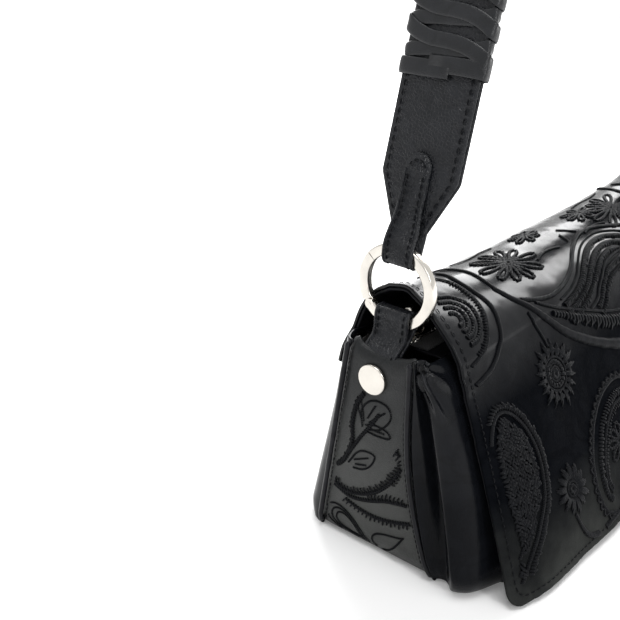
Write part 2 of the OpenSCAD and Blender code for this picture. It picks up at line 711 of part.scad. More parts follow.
// Side view of the strap with its pointed ends, cut through the whole length
module strap_sides(inset) {
  w = strap_w / 2 - inset;
  p = point_w / 2 - inset;
  translate([0, 0, ring_z]) rotate([90, 0, 90]) translate([0, 0, -half]) linear_extrude(bag_len)
    polygon([[-p, point_low + inset], [p, point_low + inset], [w, point_top],
      [w, strap_rise + 20], [-w, strap_rise + 20], [-w, point_top]]);
}
module strap_layer(near, far, inset) {
  intersection() {
    translate([0, 0, ring_z]) along_y(strap_w + 2) polygon(arch_strip(arch_at(ring_r), near, far));
    strap_sides(inset);
  }
}
module strap_outer() {
  color(leather_colour) strap_layer(strap_half_t - strap_ply, strap_half_t, 0);
}
module strap_backing() {
  color(edge_colour) strap_layer(-strap_half_t, strap_ply - strap_half_t, 0);
}
module strap_core() {
  color(cloth_colour) strap_layer(-core_t / 2, core_t / 2, 3);
}

// Lacing: a sleeve of crossed laces round the shoulder part of the strap
module strap_lacing() {
  start = arch_at(lacing_start);
  near = strap_half_t + fit;
  color(edge_colour) translate([0, 0, ring_z]) difference() {
    along_y(strap_w + 2 * fit + 2 * lace_t) polygon(arch_strip(start, -near - lace_t, near + lace_t));
    along_y(strap_w + 2 * fit) polygon(arch_strip(start - 0.01, -near, near));
  }
}

// Keeper: one strip folded round the ring, with a leg on each face of the strap
module keeper() {
  near = strap_half_t + fit / 2;
  far = near + leather;
  low = arch_at(ring_r - 4);
  slit = arch_at(point_low - fit - near * sin(strap_lean));
  high = arch_at(keeper_top + 6);
  near_z = loop_near(keeper_w);
  color(leather_colour) translate([0, 0, ring_z]) intersection() {
    along_y(keeper_w) difference() {
      union() {
        polygon(concat(side_line(low, high, 8, -far), [for (i = [8:-1:0]) side_line(low, high, 8, far)[i]]));
        polygon(round_box(-ring_x - loop_x - leather, -ring_x + loop_x + leather,
          near_z - leather, loop_far + leather, loop_x));
      }
      polygon(concat(side_line(slit, 0.4, 8, -near), [for (i = [8:-1:0]) side_line(slit, 0.4, 8, near)[i]]));
      polygon(round_box(-ring_x - loop_x, -ring_x + loop_x, near_z, loop_far, 1));
    }
    rotate([90, 0, 90]) translate([0, 0, -half]) linear_extrude(half) keeper_outline();
  }
}
module keeper_outline() {
  w = keeper_w / 2;
  n = keeper_neck / 2;
  polygon(concat([[-w, 0], [w, 0], [w, point_low], [n, point_low + 10]],
    [for (a = [0:15:180]) [n * cos(a), keeper_top - n + n * sin(a)]],
    [[-n, point_low + 10], [-w, point_low]]));
}

base_panel();
base_board();
back_panel();
front_panel();
end_panel();  // end_panel_left
mirror([1, 0, 0]) end_panel();  // end_panel_right
welts();  // welts_left
mirror([1, 0, 0]) welts();  // welts_right
lining_floor();
lining_wall(-half, 0);  // lining_front
lining_wall(0, half);  // lining_rear
lining_end();  // lining_end_left
mirror([1, 0, 0]) lining_end();  // lining_end_right
zip_strip_front();
zip_strip_rear();
zip_tape_front();
zip_tape_rear();
zip_teeth_front();
zip_teeth_rear();
zip_end_stops();
ring_tab();  // ring_tab_left
mirror([1, 0, 0]) ring_tab();  // ring_tab_right
rivet();  // rivet_left
mirror([1, 0, 0]) rivet();  // rivet_right
rivet_washer();  // rivet_washer_left
mirror([1, 0, 0]) rivet_washer();  // rivet_washer_right
snap_socket();
snap_socket_washer();
flap_root();
flap_top();
flap_top_lining();
flap_front();
flap_front_lining();
snap_stud();
zip_slider();
zip_pull();
ring();  // ring_left
gate_pin();  // gate_pin_left
gate();  // gate_left
mirror([1, 0, 0]) ring();  // ring_right
mirror([1, 0, 0]) gate_pin();  // gate_pin_right
mirror([1, 0, 0]) gate();  // gate_right
strap_outer();
strap_backing();
strap_core();
strap_lacing();
keeper();  // keeper_left
mirror([1, 0, 0]) keeper();  // keeper_right
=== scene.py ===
"""Flap bag with an embroidered flap, two spring rings and a laced shoulder strap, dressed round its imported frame."""
import itertools
import json
import logging
import math
from dataclasses import dataclass, field
from enum import Enum
from typing import Callable, Sequence

import bpy
import numpy as np
from mathutils import Matrix

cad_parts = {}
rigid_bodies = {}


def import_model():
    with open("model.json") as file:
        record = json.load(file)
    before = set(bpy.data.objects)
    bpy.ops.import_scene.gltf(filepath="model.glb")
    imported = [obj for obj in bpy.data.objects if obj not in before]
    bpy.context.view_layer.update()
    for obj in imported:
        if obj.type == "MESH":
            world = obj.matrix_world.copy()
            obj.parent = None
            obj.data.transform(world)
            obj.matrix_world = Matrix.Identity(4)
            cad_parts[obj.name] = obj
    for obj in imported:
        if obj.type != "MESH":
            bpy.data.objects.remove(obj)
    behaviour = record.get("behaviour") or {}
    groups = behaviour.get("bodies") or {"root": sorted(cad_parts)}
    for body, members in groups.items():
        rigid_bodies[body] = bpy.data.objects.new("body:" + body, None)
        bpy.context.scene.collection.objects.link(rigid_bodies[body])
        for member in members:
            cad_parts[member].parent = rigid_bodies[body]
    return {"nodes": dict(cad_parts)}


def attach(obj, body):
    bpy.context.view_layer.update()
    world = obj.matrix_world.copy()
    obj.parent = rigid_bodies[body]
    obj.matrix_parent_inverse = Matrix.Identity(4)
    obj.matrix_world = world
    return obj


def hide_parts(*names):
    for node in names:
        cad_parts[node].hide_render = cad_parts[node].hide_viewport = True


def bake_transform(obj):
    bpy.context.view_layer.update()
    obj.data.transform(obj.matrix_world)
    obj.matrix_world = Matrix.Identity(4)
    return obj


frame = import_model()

Array = np.ndarray
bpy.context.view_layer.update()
MM = 0.001
FULL_TURN = 2 * np.pi
X_AXIS, Y_AXIS, Z_AXIS = np.eye(3)
LOG = logging.getLogger("bag")


class Carrier(Enum):
    """Body of the frame that a piece rides on."""

    BAG = "bag"
    SLIDER = "zip_slider"
    PULL = "zip_pull"
    STRAP = "strap"


class Slot(Enum):
    """Material slot of the record, listed beside each piece."""

    OUTER = "outer_leather"
    WELT = "welt_leather"
    INNER = "inner_leather"
    LACE = "lacing_leather"
    BOARD = "stiffening_board"
    CLOTH = "lining_cloth"
    TAPE = "zip_tape_cloth"
    ZIP = "zip_metal"
    BRIGHT = "bright_metal"
    SNAP = "snap_metal"


# Arrays and curves.


def mix(a: float | Array, b: float | Array, t: float | Array) -> Array:
    """Value between a and b at share t."""
    return a + (b - a) * t


def columns(*parts: Array) -> Array:
    """Points or places from their coordinates, each an array of the same shape."""
    return np.stack(parts, -1)


def repeat(vector: Sequence[float], count: int) -> Array:
    """The same vector on each of a number of rows."""
    return np.tile(np.asarray(vector, float), (count, 1))


def circle(radius: float, steps: int) -> Array:
    """Flat loop of even points round a circle, counter-clockwise."""
    turn = np.linspace(0, FULL_TURN, steps, endpoint=False)
    return radius * columns(np.cos(turn), np.sin(turn))


def unit(v: Array) -> Array:
    """Vectors of length one."""
    return v / np.maximum(np.linalg.norm(v, axis=-1, keepdims=True), 1e-9)


def ease(t: Array) -> Array:
    """Smooth step from 0 to 1."""
    t = np.clip(t, 0, 1)
    return t * t * (3 - 2 * t)


def through(knots: Array, u: Array) -> Array:
    """Smooth curve through knots: each cubic takes its end slopes from the neighbouring knots.

    Args:
        knots: knots along the first axis, with any further axes.
        u: places from 0 to 1.

    Returns:
        Points, places along the first axis.
    """
    knots = np.asarray(knots, float)
    ends = np.concatenate([2 * knots[:1] - knots[1:2], knots, 2 * knots[-1:] - knots[-2:-1]])
    s = np.asarray(u, float) * (len(knots) - 1)
    i = np.clip(s.astype(int), 0, len(knots) - 2)
    f = (s - i).reshape(s.shape + (1,) * (knots.ndim - 1))
    a, b, c, d = ends[i], ends[i + 1], ends[i + 2], ends[i + 3]
    return 0.5 * (2 * b + (c - a) * f + (2 * a - 5 * b + 4 * c - d) * f**2 + (3 * b - a - 3 * c + d) * f**3)


def noise(points: Array, seed: int) -> Array:
    """Random values on whole-number corners, blended smoothly between them.

    Args:
        points: places, two or three numbers each.
        seed: picks the pattern.

    Returns:
        Values from -1 to 1.
    """
    p = np.asarray(points, float)
    cell = np.floor(p).astype(np.int64)
    f = p - cell
    f = f * f * (3 - 2 * f)
    total = np.zeros(p.shape[:-1])
    primes = (73856093, 19349663, 83492791)
    for corner in itertools.product((0, 1), repeat=p.shape[-1]):
        key = np.full(p.shape[:-1], seed * 26544357, np.int64)
        weight = np.ones(p.shape[:-1])
        for axis, step in enumerate(corner):
            key = key ^ ((cell[..., axis] + step) * primes[axis])
            weight = weight * (f[..., axis] if step else 1 - f[..., axis])
        key = (key ^ (key >> 13)) * 1274126177 & 0x7FFFFFFF
        total = total + weight * (key % 65521) / 65521
    return 2 * total - 1


def grid_normals(grid: Array) -> Array:
    """Unit vectors across a grid: the way along its columns crossed with the way along its rows."""
    return unit(np.cross(np.gradient(grid, axis=1), np.gradient(grid, axis=0)))


def lengths(line: Array) -> Array:
    """Distance along a line of points, from its first."""
    return np.concatenate([[0], np.cumsum(np.linalg.norm(np.diff(line, axis=0), axis=1))])


def even(line: Array, pitch: float) -> Array:
    """Points at an even pitch along a line of points."""
    run = lengths(line)
    at = np.linspace(0, run[-1], max(2, int(round(run[-1] / pitch)) + 1))
    return np.stack([np.interp(at, run, line[:, k]) for k in range(line.shape[1])], -1)


# Patches: points and faces before they become meshes.


@dataclass
class Patch:
    """Points in millimetres, faces of three, four or more corners, and a place on the leather for each point."""

    points: Array
    faces: list[Array]
    uv: Array


def quads(rows: int, cols: int, wrap: bool = False) -> Array:
    """Four-cornered faces of a grid numbered row by row; wrap joins the last column to the first."""
    r, c = np.meshgrid(np.arange(rows - 1), np.arange(cols if wrap else cols - 1), indexing="ij")
    d = (c + 1) % cols
    return columns(r * cols + c, r * cols + d, (r + 1) * cols + d, (r + 1) * cols + c).reshape(-1, 4)


def tube(rows: int, cols: int) -> list[Array]:
    """Faces of a closed tube: its side, and one many-cornered face at each end."""
    first = np.arange(cols)
    return [quads(rows, cols, wrap=True), first[None, ::-1], ((rows - 1) * cols + first)[None]]


def join(patches: Sequence[Patch]) -> Patch:
    """One patch out of several, with its corners renumbered."""
    faces, start = [], 0
    for patch in patches:
        faces += [block + start for block in patch.faces]
        start += len(patch.points)
    return Patch(np.concatenate([p.points for p in patches]), faces, np.concatenate([p.uv for p in patches]))


def mirrored(patch: Patch) -> Patch:
    """The same patch on the other side of the bag's middle plane, with its faces turned to point outwards again."""
    return Patch(patch.points * (-1, 1, 1), [block[:, ::-1] for block in patch.faces], patch.uv * (-1, 1))


SIDES: tuple[tuple[str, Callable[[Patch], Patch]], ...] = (("left", lambda patch: patch), ("right", mirrored))


def flat_uv(grid: Array) -> Array:
    """Place on the leather for each point of a grid: the mean distance along its rows and along its columns."""
    across = np.linalg.norm(np.diff(grid, axis=1), axis=-1).mean(0)
    along = np.linalg.norm(np.diff(grid, axis=0), axis=-1).mean(1)
    u, v = np.concatenate([[0], np.cumsum(across)]), np.concatenate([[0], np.cumsum(along)])
    return np.stack(np.meshgrid(u - u[-1] / 2, v), -1) * MM


def slab(
    outer: Array, thickness: float, rim: int = 4, uv: Array | None = None, normals: Array | None = None, cut: str = ""
) -> Patch:
    """Closed sheet below an outer grid: the grid, the same grid moved in by the thickness, and a half-round rim.

    Args:
        outer: grid of points of the outer face.
        thickness: thickness of the sheet.
        rim: number of faces across the rim.
        uv: place on the leather for each point, or None for distances.
        normals: way out of the sheet for each point, or None to take it from the grid.
        cut: "first" or "last" where that row meets another sheet and its rim is flat.

    Returns:
        The sheet.
    """
    rows, cols = outer.shape[:2]
    n = grid_normals(outer) if normals is None else normals
    uv = flat_uv(outer) if uv is None else uv
    index = np.arange(rows * cols).reshape(rows, cols)
    edge = np.concatenate([index[0, :-1], index[:-1, -1], index[-1, :0:-1], index[:0:-1, 0]])
    flat, normal = outer.reshape(-1, 3), n.reshape(-1, 3)
    middle = flat[edge] - normal[edge] * thickness / 2
    run = np.roll(middle, -1, 0) - np.roll(middle, 1, 0)
    out = unit(np.cross(unit(run), normal[edge]))
    side, front = cols - 1, rows - 1
    if cut == "first":
        out[1:side] = 0
        out[0], out[side] = out[-1], out[side + 1]
    if cut == "last":
        out[side + front + 1:2 * side + front] = 0
        out[side + front], out[2 * side + front] = out[side + front - 1], out[2 * side + front + 1]
    turn = np.pi * np.arange(1, rim)[:, None, None] / rim
    rims = middle + thickness / 2 * (normal[edge] * np.cos(turn) + out * np.sin(turn))
    count, loop = rows * cols, len(edge)
    ids = [edge] + [2 * count + k * loop + np.arange(loop) for k in range(rim - 1)] + [edge + count]
    sides = [columns(np.roll(a, -1), a, b, np.roll(b, -1)) for a, b in zip(ids[:-1], ids[1:])]
    faces = [quads(rows, cols), quads(rows, cols)[:, ::-1] + count, np.concatenate(sides)]
    points = np.concatenate([flat, flat - normal * thickness, rims.reshape(-1, 3)])
    place = uv.reshape(-1, 2)
    return Patch(points, faces, np.concatenate([place, place, np.tile(place[edge], (rim - 1, 1))]))


def sweep(path: Array, side: Array, profile: Array, scale: Array | None = None, closed: bool = False) -> Patch:
    """Profile carried along a path: each point is the path's, plus the profile's two numbers along side and up.

    Args:
        path: points of the path.
        side: way that the profile's first number runs, for each point.
        profile: closed loop of two-number points, counter-clockwise.
        scale: size of the profile at each point, or None for 1.
        closed: whether the path closes on itself.

    Returns:
        The bar, with flat ends where the path is open.
    """
    tangent = np.roll(path, -1, 0) - np.roll(path, 1, 0) if closed else np.gradient(path, axis=0)
    tangent = unit(tangent)
    side = unit(side - (side * tangent).sum(-1, keepdims=True) * tangent)
    up = np.cross(tangent, side)
    size = np.ones(len(path)) if scale is None else scale
    shape = profile[None] * size[:, None, None]
    points = path[:, None] + side[:, None] * shape[..., :1] + up[:, None] * shape[..., 1:]
    rows, cols = points.shape[:2]
    around = lengths(np.concatenate([profile, profile[:1]]))[:-1]
    uv = np.stack(np.meshgrid(around, lengths(path)), -1).reshape(-1, 2) * MM
    faces = tube(rows, cols)
    if closed:
        last, first = (rows - 1) * cols + np.arange(cols), np.arange(cols)
        faces[1:] = [columns(last, np.roll(last, -1), np.roll(first, -1), first)]
    return Patch(points.reshape(-1, 3), faces, uv)


def round_bar(width: float, height: float, radius: float, steps: int = 3) -> Array:
    """Loop of a bar's cross-section: a rectangle with quarter circles at its corners, counter-clockwise."""
    turn = np.radians(np.linspace(0, 90, steps + 1))
    corner = radius * columns(np.cos(turn), np.sin(turn))
    loops = []
    for k, (sx, sy) in enumerate(((1, 1), (-1, 1), (-1, -1), (1, -1))):
        c, s = math.cos(k * math.pi / 2), math.sin(k * math.pi / 2)
        loops.append(corner @ np.array([[c, s], [-s, c]]) + (sx * (width / 2 - radius), sy * (height / 2 - radius)))
    return np.concatenate(loops)


def lathe(profile: Array, centre: Array, axis: Array, steps: int = 56) -> Patch:
    """Profile turned about an axis: each point lies its first number out and its second number along the axis.

    Args:
        profile: points from the axis at the foot, out and round to the axis at the top.
        centre: point where the second number is 0.
        axis: way along the axis.
        steps: number of faces round the axis.

    Returns:
        The turned piece, closed at both ends by a small flat face.
    """
    axis = unit(np.asarray(axis, float))
    a = unit(np.cross(axis, (0.3, 0.8, 0.5)))
    b = np.cross(axis, a)
    turn = np.linspace(0, 2 * np.pi, steps, endpoint=False)[None, :, None]
    ring = a * np.cos(turn) + b * np.sin(turn)
    profile = np.maximum(profile, (0.02, -1e9))
    points = np.asarray(centre) + profile[:, None, :1] * ring + profile[:, None, 1:] * axis
    rows = len(profile)
    uv = np.stack(np.meshgrid(np.linspace(0, 1, steps), profile[:, 1]), -1).reshape(-1, 2) * MM
    return Patch(points.reshape(-1, 3), tube(rows, steps), uv)


def disc_profile(radius: float, low: float, high: float, edge: float, dome: float = 0.0) -> Array:
    """Profile of a disc with a rounded upper edge and a slightly domed face."""
    turn = np.radians(np.linspace(0, 90, 6))
    arc = columns(radius - edge + edge * np.cos(turn), high - edge + edge * np.sin(turn))
    inner = np.linspace(1, 0, 6)[1:]
    face = columns((radius - edge) * inner, high + dome * (1 - inner**2))
    return np.concatenate([[[0, low], [radius, low]], arc, face])


def threads(start: Array, end: Array, normal: Array, radius: float | Array, arch: float = 0.25) -> Patch:
    """Many short stitches at once: each is a fat thread from start to end that arches up from the leather.

    Args:
        start: first ends.
        end: last ends.
        normal: way up from the leather at each stitch.
        radius: thread radius.
        arch: height of the arch, as a share of the stitch's length.

    Returns:
        Closed threads with five sides and four rings each.
    """
    shares = np.array([0.0, 0.28, 0.72, 1.0])
    swell = np.array([0.45, 1.0, 1.0, 0.45])
    sides = 5
    count = len(start)
    size = np.broadcast_to(np.asarray(radius, float), (count,))
    run = end - start
    along, length = unit(run), np.linalg.norm(run, axis=-1)
    side = unit(np.cross(normal, along))
    up = np.cross(along, side)
    lift = np.minimum(arch * length, 1.6 * size)[:, None] * np.sin(np.pi * shares)
    centre = start[:, None] + run[:, None] * shares[:, None] + up[:, None] * lift[..., None]
    turn = 2 * np.pi * np.arange(sides) / sides
    ring = side[:, None, None] * np.cos(turn)[:, None] + up[:, None, None] * np.sin(turn)[:, None] * 0.8
    points = centre[:, :, None] + ring * (size[:, None] * swell)[..., None, None]
    base = np.arange(count)[:, None, None] * (sides * len(shares))
    walls = (quads(len(shares), sides, wrap=True)[None] + base).reshape(-1, 4)
    first = (np.arange(sides)[None, None, ::-1] + base).reshape(-1, sides)
    last = (np.arange(sides)[None, None] + (len(shares) - 1) * sides + base).reshape(-1, sides)
    uv = np.zeros((count * sides * len(shares), 2))
    uv[:, 1] = np.repeat(np.tile(shares, count), sides) * np.repeat(length, sides * len(shares)) * MM
    uv[:, 0] = np.tile(np.arange(sides) / sides, count * len(shares)) * 0.001
    return Patch(points.reshape(-1, 3), [walls, first, last], uv)


def running(at: Array, gap: float, normal: Array, radius: float) -> Patch:
    """Running stitches between neighbouring points, each short of both points by a share of their distance."""
    run = np.diff(at, axis=0)
    return threads(at[:-1] + gap * run, at[1:] - gap * run, np.broadcast_to(normal, run.shape), radius)


def make_piece(name: str, patch: Patch, material: bpy.types.Material) -> bpy.types.Object:
    """Puts a patch into a mesh object at the origin, in metres, with its UV map and material."""
    mesh = bpy.data.meshes.new(name)
    blocks = [block for block in patch.faces if len(block)]
    corners = np.concatenate([block.ravel() for block in blocks]).astype(np.int32)
    counts = np.concatenate([np.full(len(block), block.shape[1]) for block in blocks])
    mesh.vertices.add(len(patch.points))
    mesh.vertices.foreach_set("co", (patch.points * MM).astype(np.float32).ravel())
    mesh.loops.add(len(corners))
    mesh.loops.foreach_set("vertex_index", corners)
    mesh.polygons.add(len(counts))
    mesh.polygons.foreach_set("loop_start", np.concatenate([[0], np.cumsum(counts)[:-1]]).astype(np.int32))
    mesh.polygons.foreach_set("use_smooth", np.ones(len(counts), bool))
    layer = mesh.uv_layers.new(name="UVMap")
    layer.data.foreach_set("uv", patch.uv[corners].astype(np.float32).ravel())
    mesh.update(calc_edges=True)
    mesh.validate()
    mesh.materials.append(material)
    piece = bpy.data.objects.new(name, mesh)
    bpy.context.scene.collection.objects.link(piece)
    LOG.info("%s: %d points, %d faces", name, len(patch.points), len(counts))
    return piece


def soften(piece: bpy.types.Object, degrees: float = 35.0) -> bpy.types.Object:
    """Keeps edges sharper than an angle crisp in the shading."""
    mesh = piece.data
    mesh.set_sharp_from_angle(angle=math.radians(degrees))
    return piece


# Finishes, built out of shader nodes.


class Nodes:
    """Short way to add and link nodes in one node tree."""

    def __init__(self, tree: bpy.types.NodeTree) -> None:
        """Takes the tree that the nodes go into."""
        self.tree = tree

    def add(self, kind: str, inputs: dict | None = None, **props: object) -> bpy.types.Node:
        """Adds a node, sets its properties, and links or sets its inputs."""
        node = self.tree.nodes.new(kind)
        for key, value in props.items():
            setattr(node, key, value)
        return self.feed(node, inputs or {})

    def feed(self, node: bpy.types.Node, inputs: dict) -> bpy.types.Node:
        """Links or sets inputs of a node, each from a socket or to a value, and returns the node."""
        for key, value in inputs.items():
            if isinstance(value, bpy.types.NodeSocket):
                self.tree.links.new(value, node.inputs[key])
            else:
                node.inputs[key].default_value = value
        return node

    def math(self, operation: str, a: object, b: object = 0.0, clamp: bool = False) -> bpy.types.NodeSocket:
        """Adds a Math node and returns its value."""
        return self.add("ShaderNodeMath", {0: a, 1: b}, operation=operation, use_clamp=clamp).outputs[0]

    def ramp(
        self, value: object, low: float, high: float, to_low: float = 0.0, to_high: float = 1.0
    ) -> bpy.types.NodeSocket:
        """Maps a value from one range to another, held at both ends."""
        inputs = {0: value, 1: low, 2: high, 3: to_low, 4: to_high}
        return self.add("ShaderNodeMapRange", inputs, clamp=True).outputs[0]

    def blend(self, factor: object, a: object, b: object) -> bpy.types.NodeSocket:
        """Mixes two colours."""
        return self.add("ShaderNodeMix", {0: factor, 6: a, 7: b}, data_type="RGBA").outputs[2]

    def group(self, tree: bpy.types.NodeTree, inputs: dict) -> bpy.types.Node:
        """Adds a node group with its inputs."""
        return self.add("ShaderNodeGroup", inputs, node_tree=tree)

    def along(self, place: bpy.types.NodeSocket, axis: int, low: float, high: float) -> bpy.types.NodeSocket:
        """Maps one coordinate of a place to a value from 0 to 1."""
        return self.ramp(self.add("ShaderNodeSeparateXYZ", {0: place}).outputs[axis], low, high)

    def bump(self, strength: float, depth: float, height: bpy.types.NodeSocket) -> bpy.types.NodeSocket:
        """Normal of a surface with a relief."""
        return self.add("ShaderNodeBump", {"Strength": strength, "Distance": depth, "Height": height}).outputs[0]


def new_group(
    name: str, ins: dict[str, float | None], outs: Sequence[str]
) -> tuple[bpy.types.NodeTree, Nodes, dict, bpy.types.Node]:
    """Starts a shader node group with named inputs and outputs.

    Args:
        name: the group's name.
        ins: first values of the inputs, None for a vector.
        outs: names of the outputs, which are all numbers.

    Returns:
        The group, its node helper, its inputs by name and its output node.
    """
    tree = bpy.data.node_groups.new(name, "ShaderNodeTree")
    for key, value in ins.items():
        kind = "NodeSocketVector" if value is None else "NodeSocketFloat"
        socket = tree.interface.new_socket(name=key, in_out="INPUT", socket_type=kind)
        if value is not None:
            socket.default_value = value
    for key in outs:
        tree.interface.new_socket(name=key, in_out="OUTPUT", socket_type="NodeSocketFloat")
    nodes = Nodes(tree)
    entry = nodes.add("NodeGroupInput")
    leave = nodes.add("NodeGroupOutput")
    return tree, nodes, {key: entry.outputs[key] for key in ins}, leave


def grain_group() -> bpy.types.NodeTree:
    """Leather grain: small cells with dark joins, broken by noise, plus longer soft creases."""
    tree, n, i, leave = new_group(
        "leather_grain", {"Place": None, "Cells": 900.0, "Creases": 45.0}, ("Height", "Creases")
    )
    bend = n.add("ShaderNodeTexNoise", {"Vector": i["Place"], "Scale": 160.0, "Detail": 2.0})
    shift = n.add("ShaderNodeVectorMath", {0: bend.outputs["Color"], "Scale": 0.0016}, operation="SCALE")
    moved = n.add("ShaderNodeVectorMath", {0: i["Place"], 1: shift.outputs[0]}, operation="ADD")
    cells = n.add("ShaderNodeTexVoronoi", {"Vector": moved.outputs[0], "Scale": i["Cells"]}, feature="DISTANCE_TO_EDGE")
    pebble = n.ramp(cells.outputs["Distance"], 0.0, 0.22)
    fine = n.add("ShaderNodeTexNoise", {"Vector": i["Place"], "Scale": 2600.0, "Detail": 3.0})
    crease = n.add(
        "ShaderNodeTexNoise", {"Vector": moved.outputs[0], "Scale": i["Creases"], "Detail": 3.0, "Distortion": 1.2}
    )
    folds = n.math("ABSOLUTE", n.math("SUBTRACT", crease.outputs["Fac"], 0.5))
    folds = n.ramp(folds, 0.0, 0.09)
    height = n.math("ADD", n.math("MULTIPLY", pebble, 0.55), n.math("MULTIPLY", fine.outputs["Fac"], 0.3))
    n.tree.links.new(n.math("ADD", height, n.math("MULTIPLY", folds, 0.5)), leave.inputs["Height"])
    n.tree.links.new(folds, leave.inputs["Creases"])
    return tree


def weave_group() -> bpy.types.NodeTree:
    """Plain weave: two crossing rows of rounded threads, each over and under the other in turn."""
    tree, n, i, leave = new_group("plain_weave", {"Place": None, "Threads": 2200.0}, ("Height",))
    xyz = n.add("ShaderNodeSeparateXYZ", {0: i["Place"]})
    a = n.math("SINE", n.math("MULTIPLY", xyz.outputs[0], i["Threads"]))
    b = n.math("SINE", n.math("MULTIPLY", xyz.outputs[1], i["Threads"]))
    n.tree.links.new(n.ramp(n.math("MULTIPLY", a, b), -1.0, 1.0), leave.inputs["Height"])
    return tree


def wear_group() -> bpy.types.NodeTree:
    """Wear and handling: large soft blotches with finer breaks, as a mask from 0 to 1."""
    tree, n, i, leave = new_group("handling_wear", {"Place": None, "Scale": 18.0}, ("Mask",))
    large = n.add("ShaderNodeTexNoise", {"Vector": i["Place"], "Scale": i["Scale"], "Detail": 4.0, "Roughness": 0.6})
    n.tree.links.new(n.ramp(large.outputs["Fac"], 0.35, 0.68), leave.inputs["Mask"])
    return tree


# Paler tone that the leather is blended towards as painted light.
PAINTED_LIGHT_TONE = (0.05, 0.052, 0.049, 1)


@dataclass(frozen=True)
class Leather:
    """Dyed leather: a dark base, soft blotches, grain from cells and creases, and a clear finish over it.

    Pale and shine each hold an axis of the place, where the effect starts and is full along it, and its strength. Pale
    is painted light: the base colour turns paler along its axis, in patches, in place of reflected light.
    """

    name: str
    colour: tuple[float, float, float] = (0.012, 0.013, 0.016)
    worn: tuple[float, float, float] = (0.024, 0.026, 0.03)
    rough: tuple[float, float] = (0.3, 0.46)
    grain: float = 0.35
    cells: float = 900.0
    gloss: float = 0.1
    on_uv: bool = False
    pale: tuple[int, float, float, float] | None = None
    shine: tuple[int, float, float, float] | None = None

    def build(self, groups: dict[str, bpy.types.NodeTree]) -> bpy.types.Material:
        """Makes the material out of the shared groups."""
        material, n, shader = new_material(self.name)
        place = n.add("ShaderNodeTexCoord").outputs["UV" if self.on_uv else "Object"]
        grain = n.group(groups["grain"], {"Place": place, "Cells": self.cells})
        wear = n.group(groups["wear"], {"Place": place}).outputs["Mask"]
        tint = n.blend(wear, (*self.colour, 1), (*self.worn, 1))
        dark = n.blend(grain.outputs["Creases"], (*(0.8 * c for c in self.colour), 1), tint)
        # Painted light: along one axis the base colour is blended towards a paler tone, in patches from the wear mask,
        # in place of reflected light.
        if self.pale:
            *reach, share = self.pale
            painted_light_patches = n.math("MULTIPLY", n.along(place, *reach), n.ramp(wear, 0.2, 0.9, 0.35, 1.2))
            dark = n.blend(n.math("MULTIPLY", painted_light_patches, share), dark, PAINTED_LIGHT_TONE)
        if self.shine:
            *reach, weight = self.shine
            polish = n.ramp(wear, 0, 1, 0.55 * weight, weight)
            n.feed(shader, {"Coat Weight": n.math("MULTIPLY", n.along(place, *reach), polish)})
        n.feed(shader, {
            "Base Color": dark,
            "Roughness": n.ramp(wear, 0, 1, *self.rough),
            "Normal": n.bump(self.grain, 0.0003, grain.outputs["Height"]),
            "Specular IOR Level": self.gloss,
            "Coat Roughness": 0.2,
        })
        return material


@dataclass(frozen=True)
class Metal:
    """Plated metal: a warm or cool tint, with faint smears and hairlines in its roughness."""

    name: str
    colour: tuple[float, float, float] = (0.6, 0.572, 0.525)
    rough: tuple[float, float] = (0.14, 0.24)
    lines: float = 0.05

    def build(self, groups: dict[str, bpy.types.NodeTree]) -> bpy.types.Material:
        """Makes the material out of the shared groups."""
        material, n, shader = new_material(self.name)
        place = n.add("ShaderNodeTexCoord").outputs["Object"]
        wear = n.group(groups["wear"], {"Place": place, "Scale": 140.0}).outputs["Mask"]
        scratch = n.add("ShaderNodeTexNoise", {"Vector": place, "Scale": 900.0, "Detail": 4.0})
        n.feed(shader, {
            "Base Color": n.blend(wear, (*self.colour, 1), (*(0.92 * c for c in self.colour), 1)),
            "Roughness": n.ramp(wear, 0, 1, *self.rough),
            "Normal": n.bump(self.lines, 0.0001, scratch.outputs["Fac"]),
            "Metallic": 1.0,
        })
        return material


@dataclass(frozen=True)
class Cloth:
    """Woven cloth or twisted thread: a soft sheen over fine crossing threads."""

    name: str
    colour: tuple[float, float, float] = (0.03, 0.03, 0.032)
    rough: float = 0.85
    threads: float = 2200.0
    sheen: float = 0.3
    bump: float = 0.5
    gloss: float = 0.3

    def build(self, groups: dict[str, bpy.types.NodeTree]) -> bpy.types.Material:
        """Makes the material out of the shared groups."""
        material, n, shader = new_material(self.name)
        place = n.add("ShaderNodeTexCoord").outputs["Object"]
        weave = n.group(groups["weave"], {"Place": place, "Threads": self.threads}).outputs["Height"]
        wear = n.group(groups["wear"], {"Place": place, "Scale": 60.0}).outputs["Mask"]
        n.feed(shader, {
            "Base Color": n.blend(wear, (*(0.75 * c for c in self.colour), 1), (*self.colour, 1)),
            "Normal": n.bump(self.bump, 0.0002, weave),
            "Roughness": self.rough,
            "Specular IOR Level": self.gloss,
            "Sheen Weight": self.sheen,
            "Sheen Roughness": 0.5,
        })
        return material


def new_material(name: str) -> tuple[bpy.types.Material, Nodes, bpy.types.Node]:
    """Starts a material with a Principled shader, and returns it with its node helper and shader."""
    material = bpy.data.materials.new(name)
    material.use_nodes = True
    material.node_tree.nodes.clear()
    n = Nodes(material.node_tree)
    shader = n.add("ShaderNodeBsdfPrincipled")
    leave = n.add("ShaderNodeOutputMaterial")
    n.tree.links.new(shader.outputs[0], leave.inputs["Surface"])
    return material, n, shader


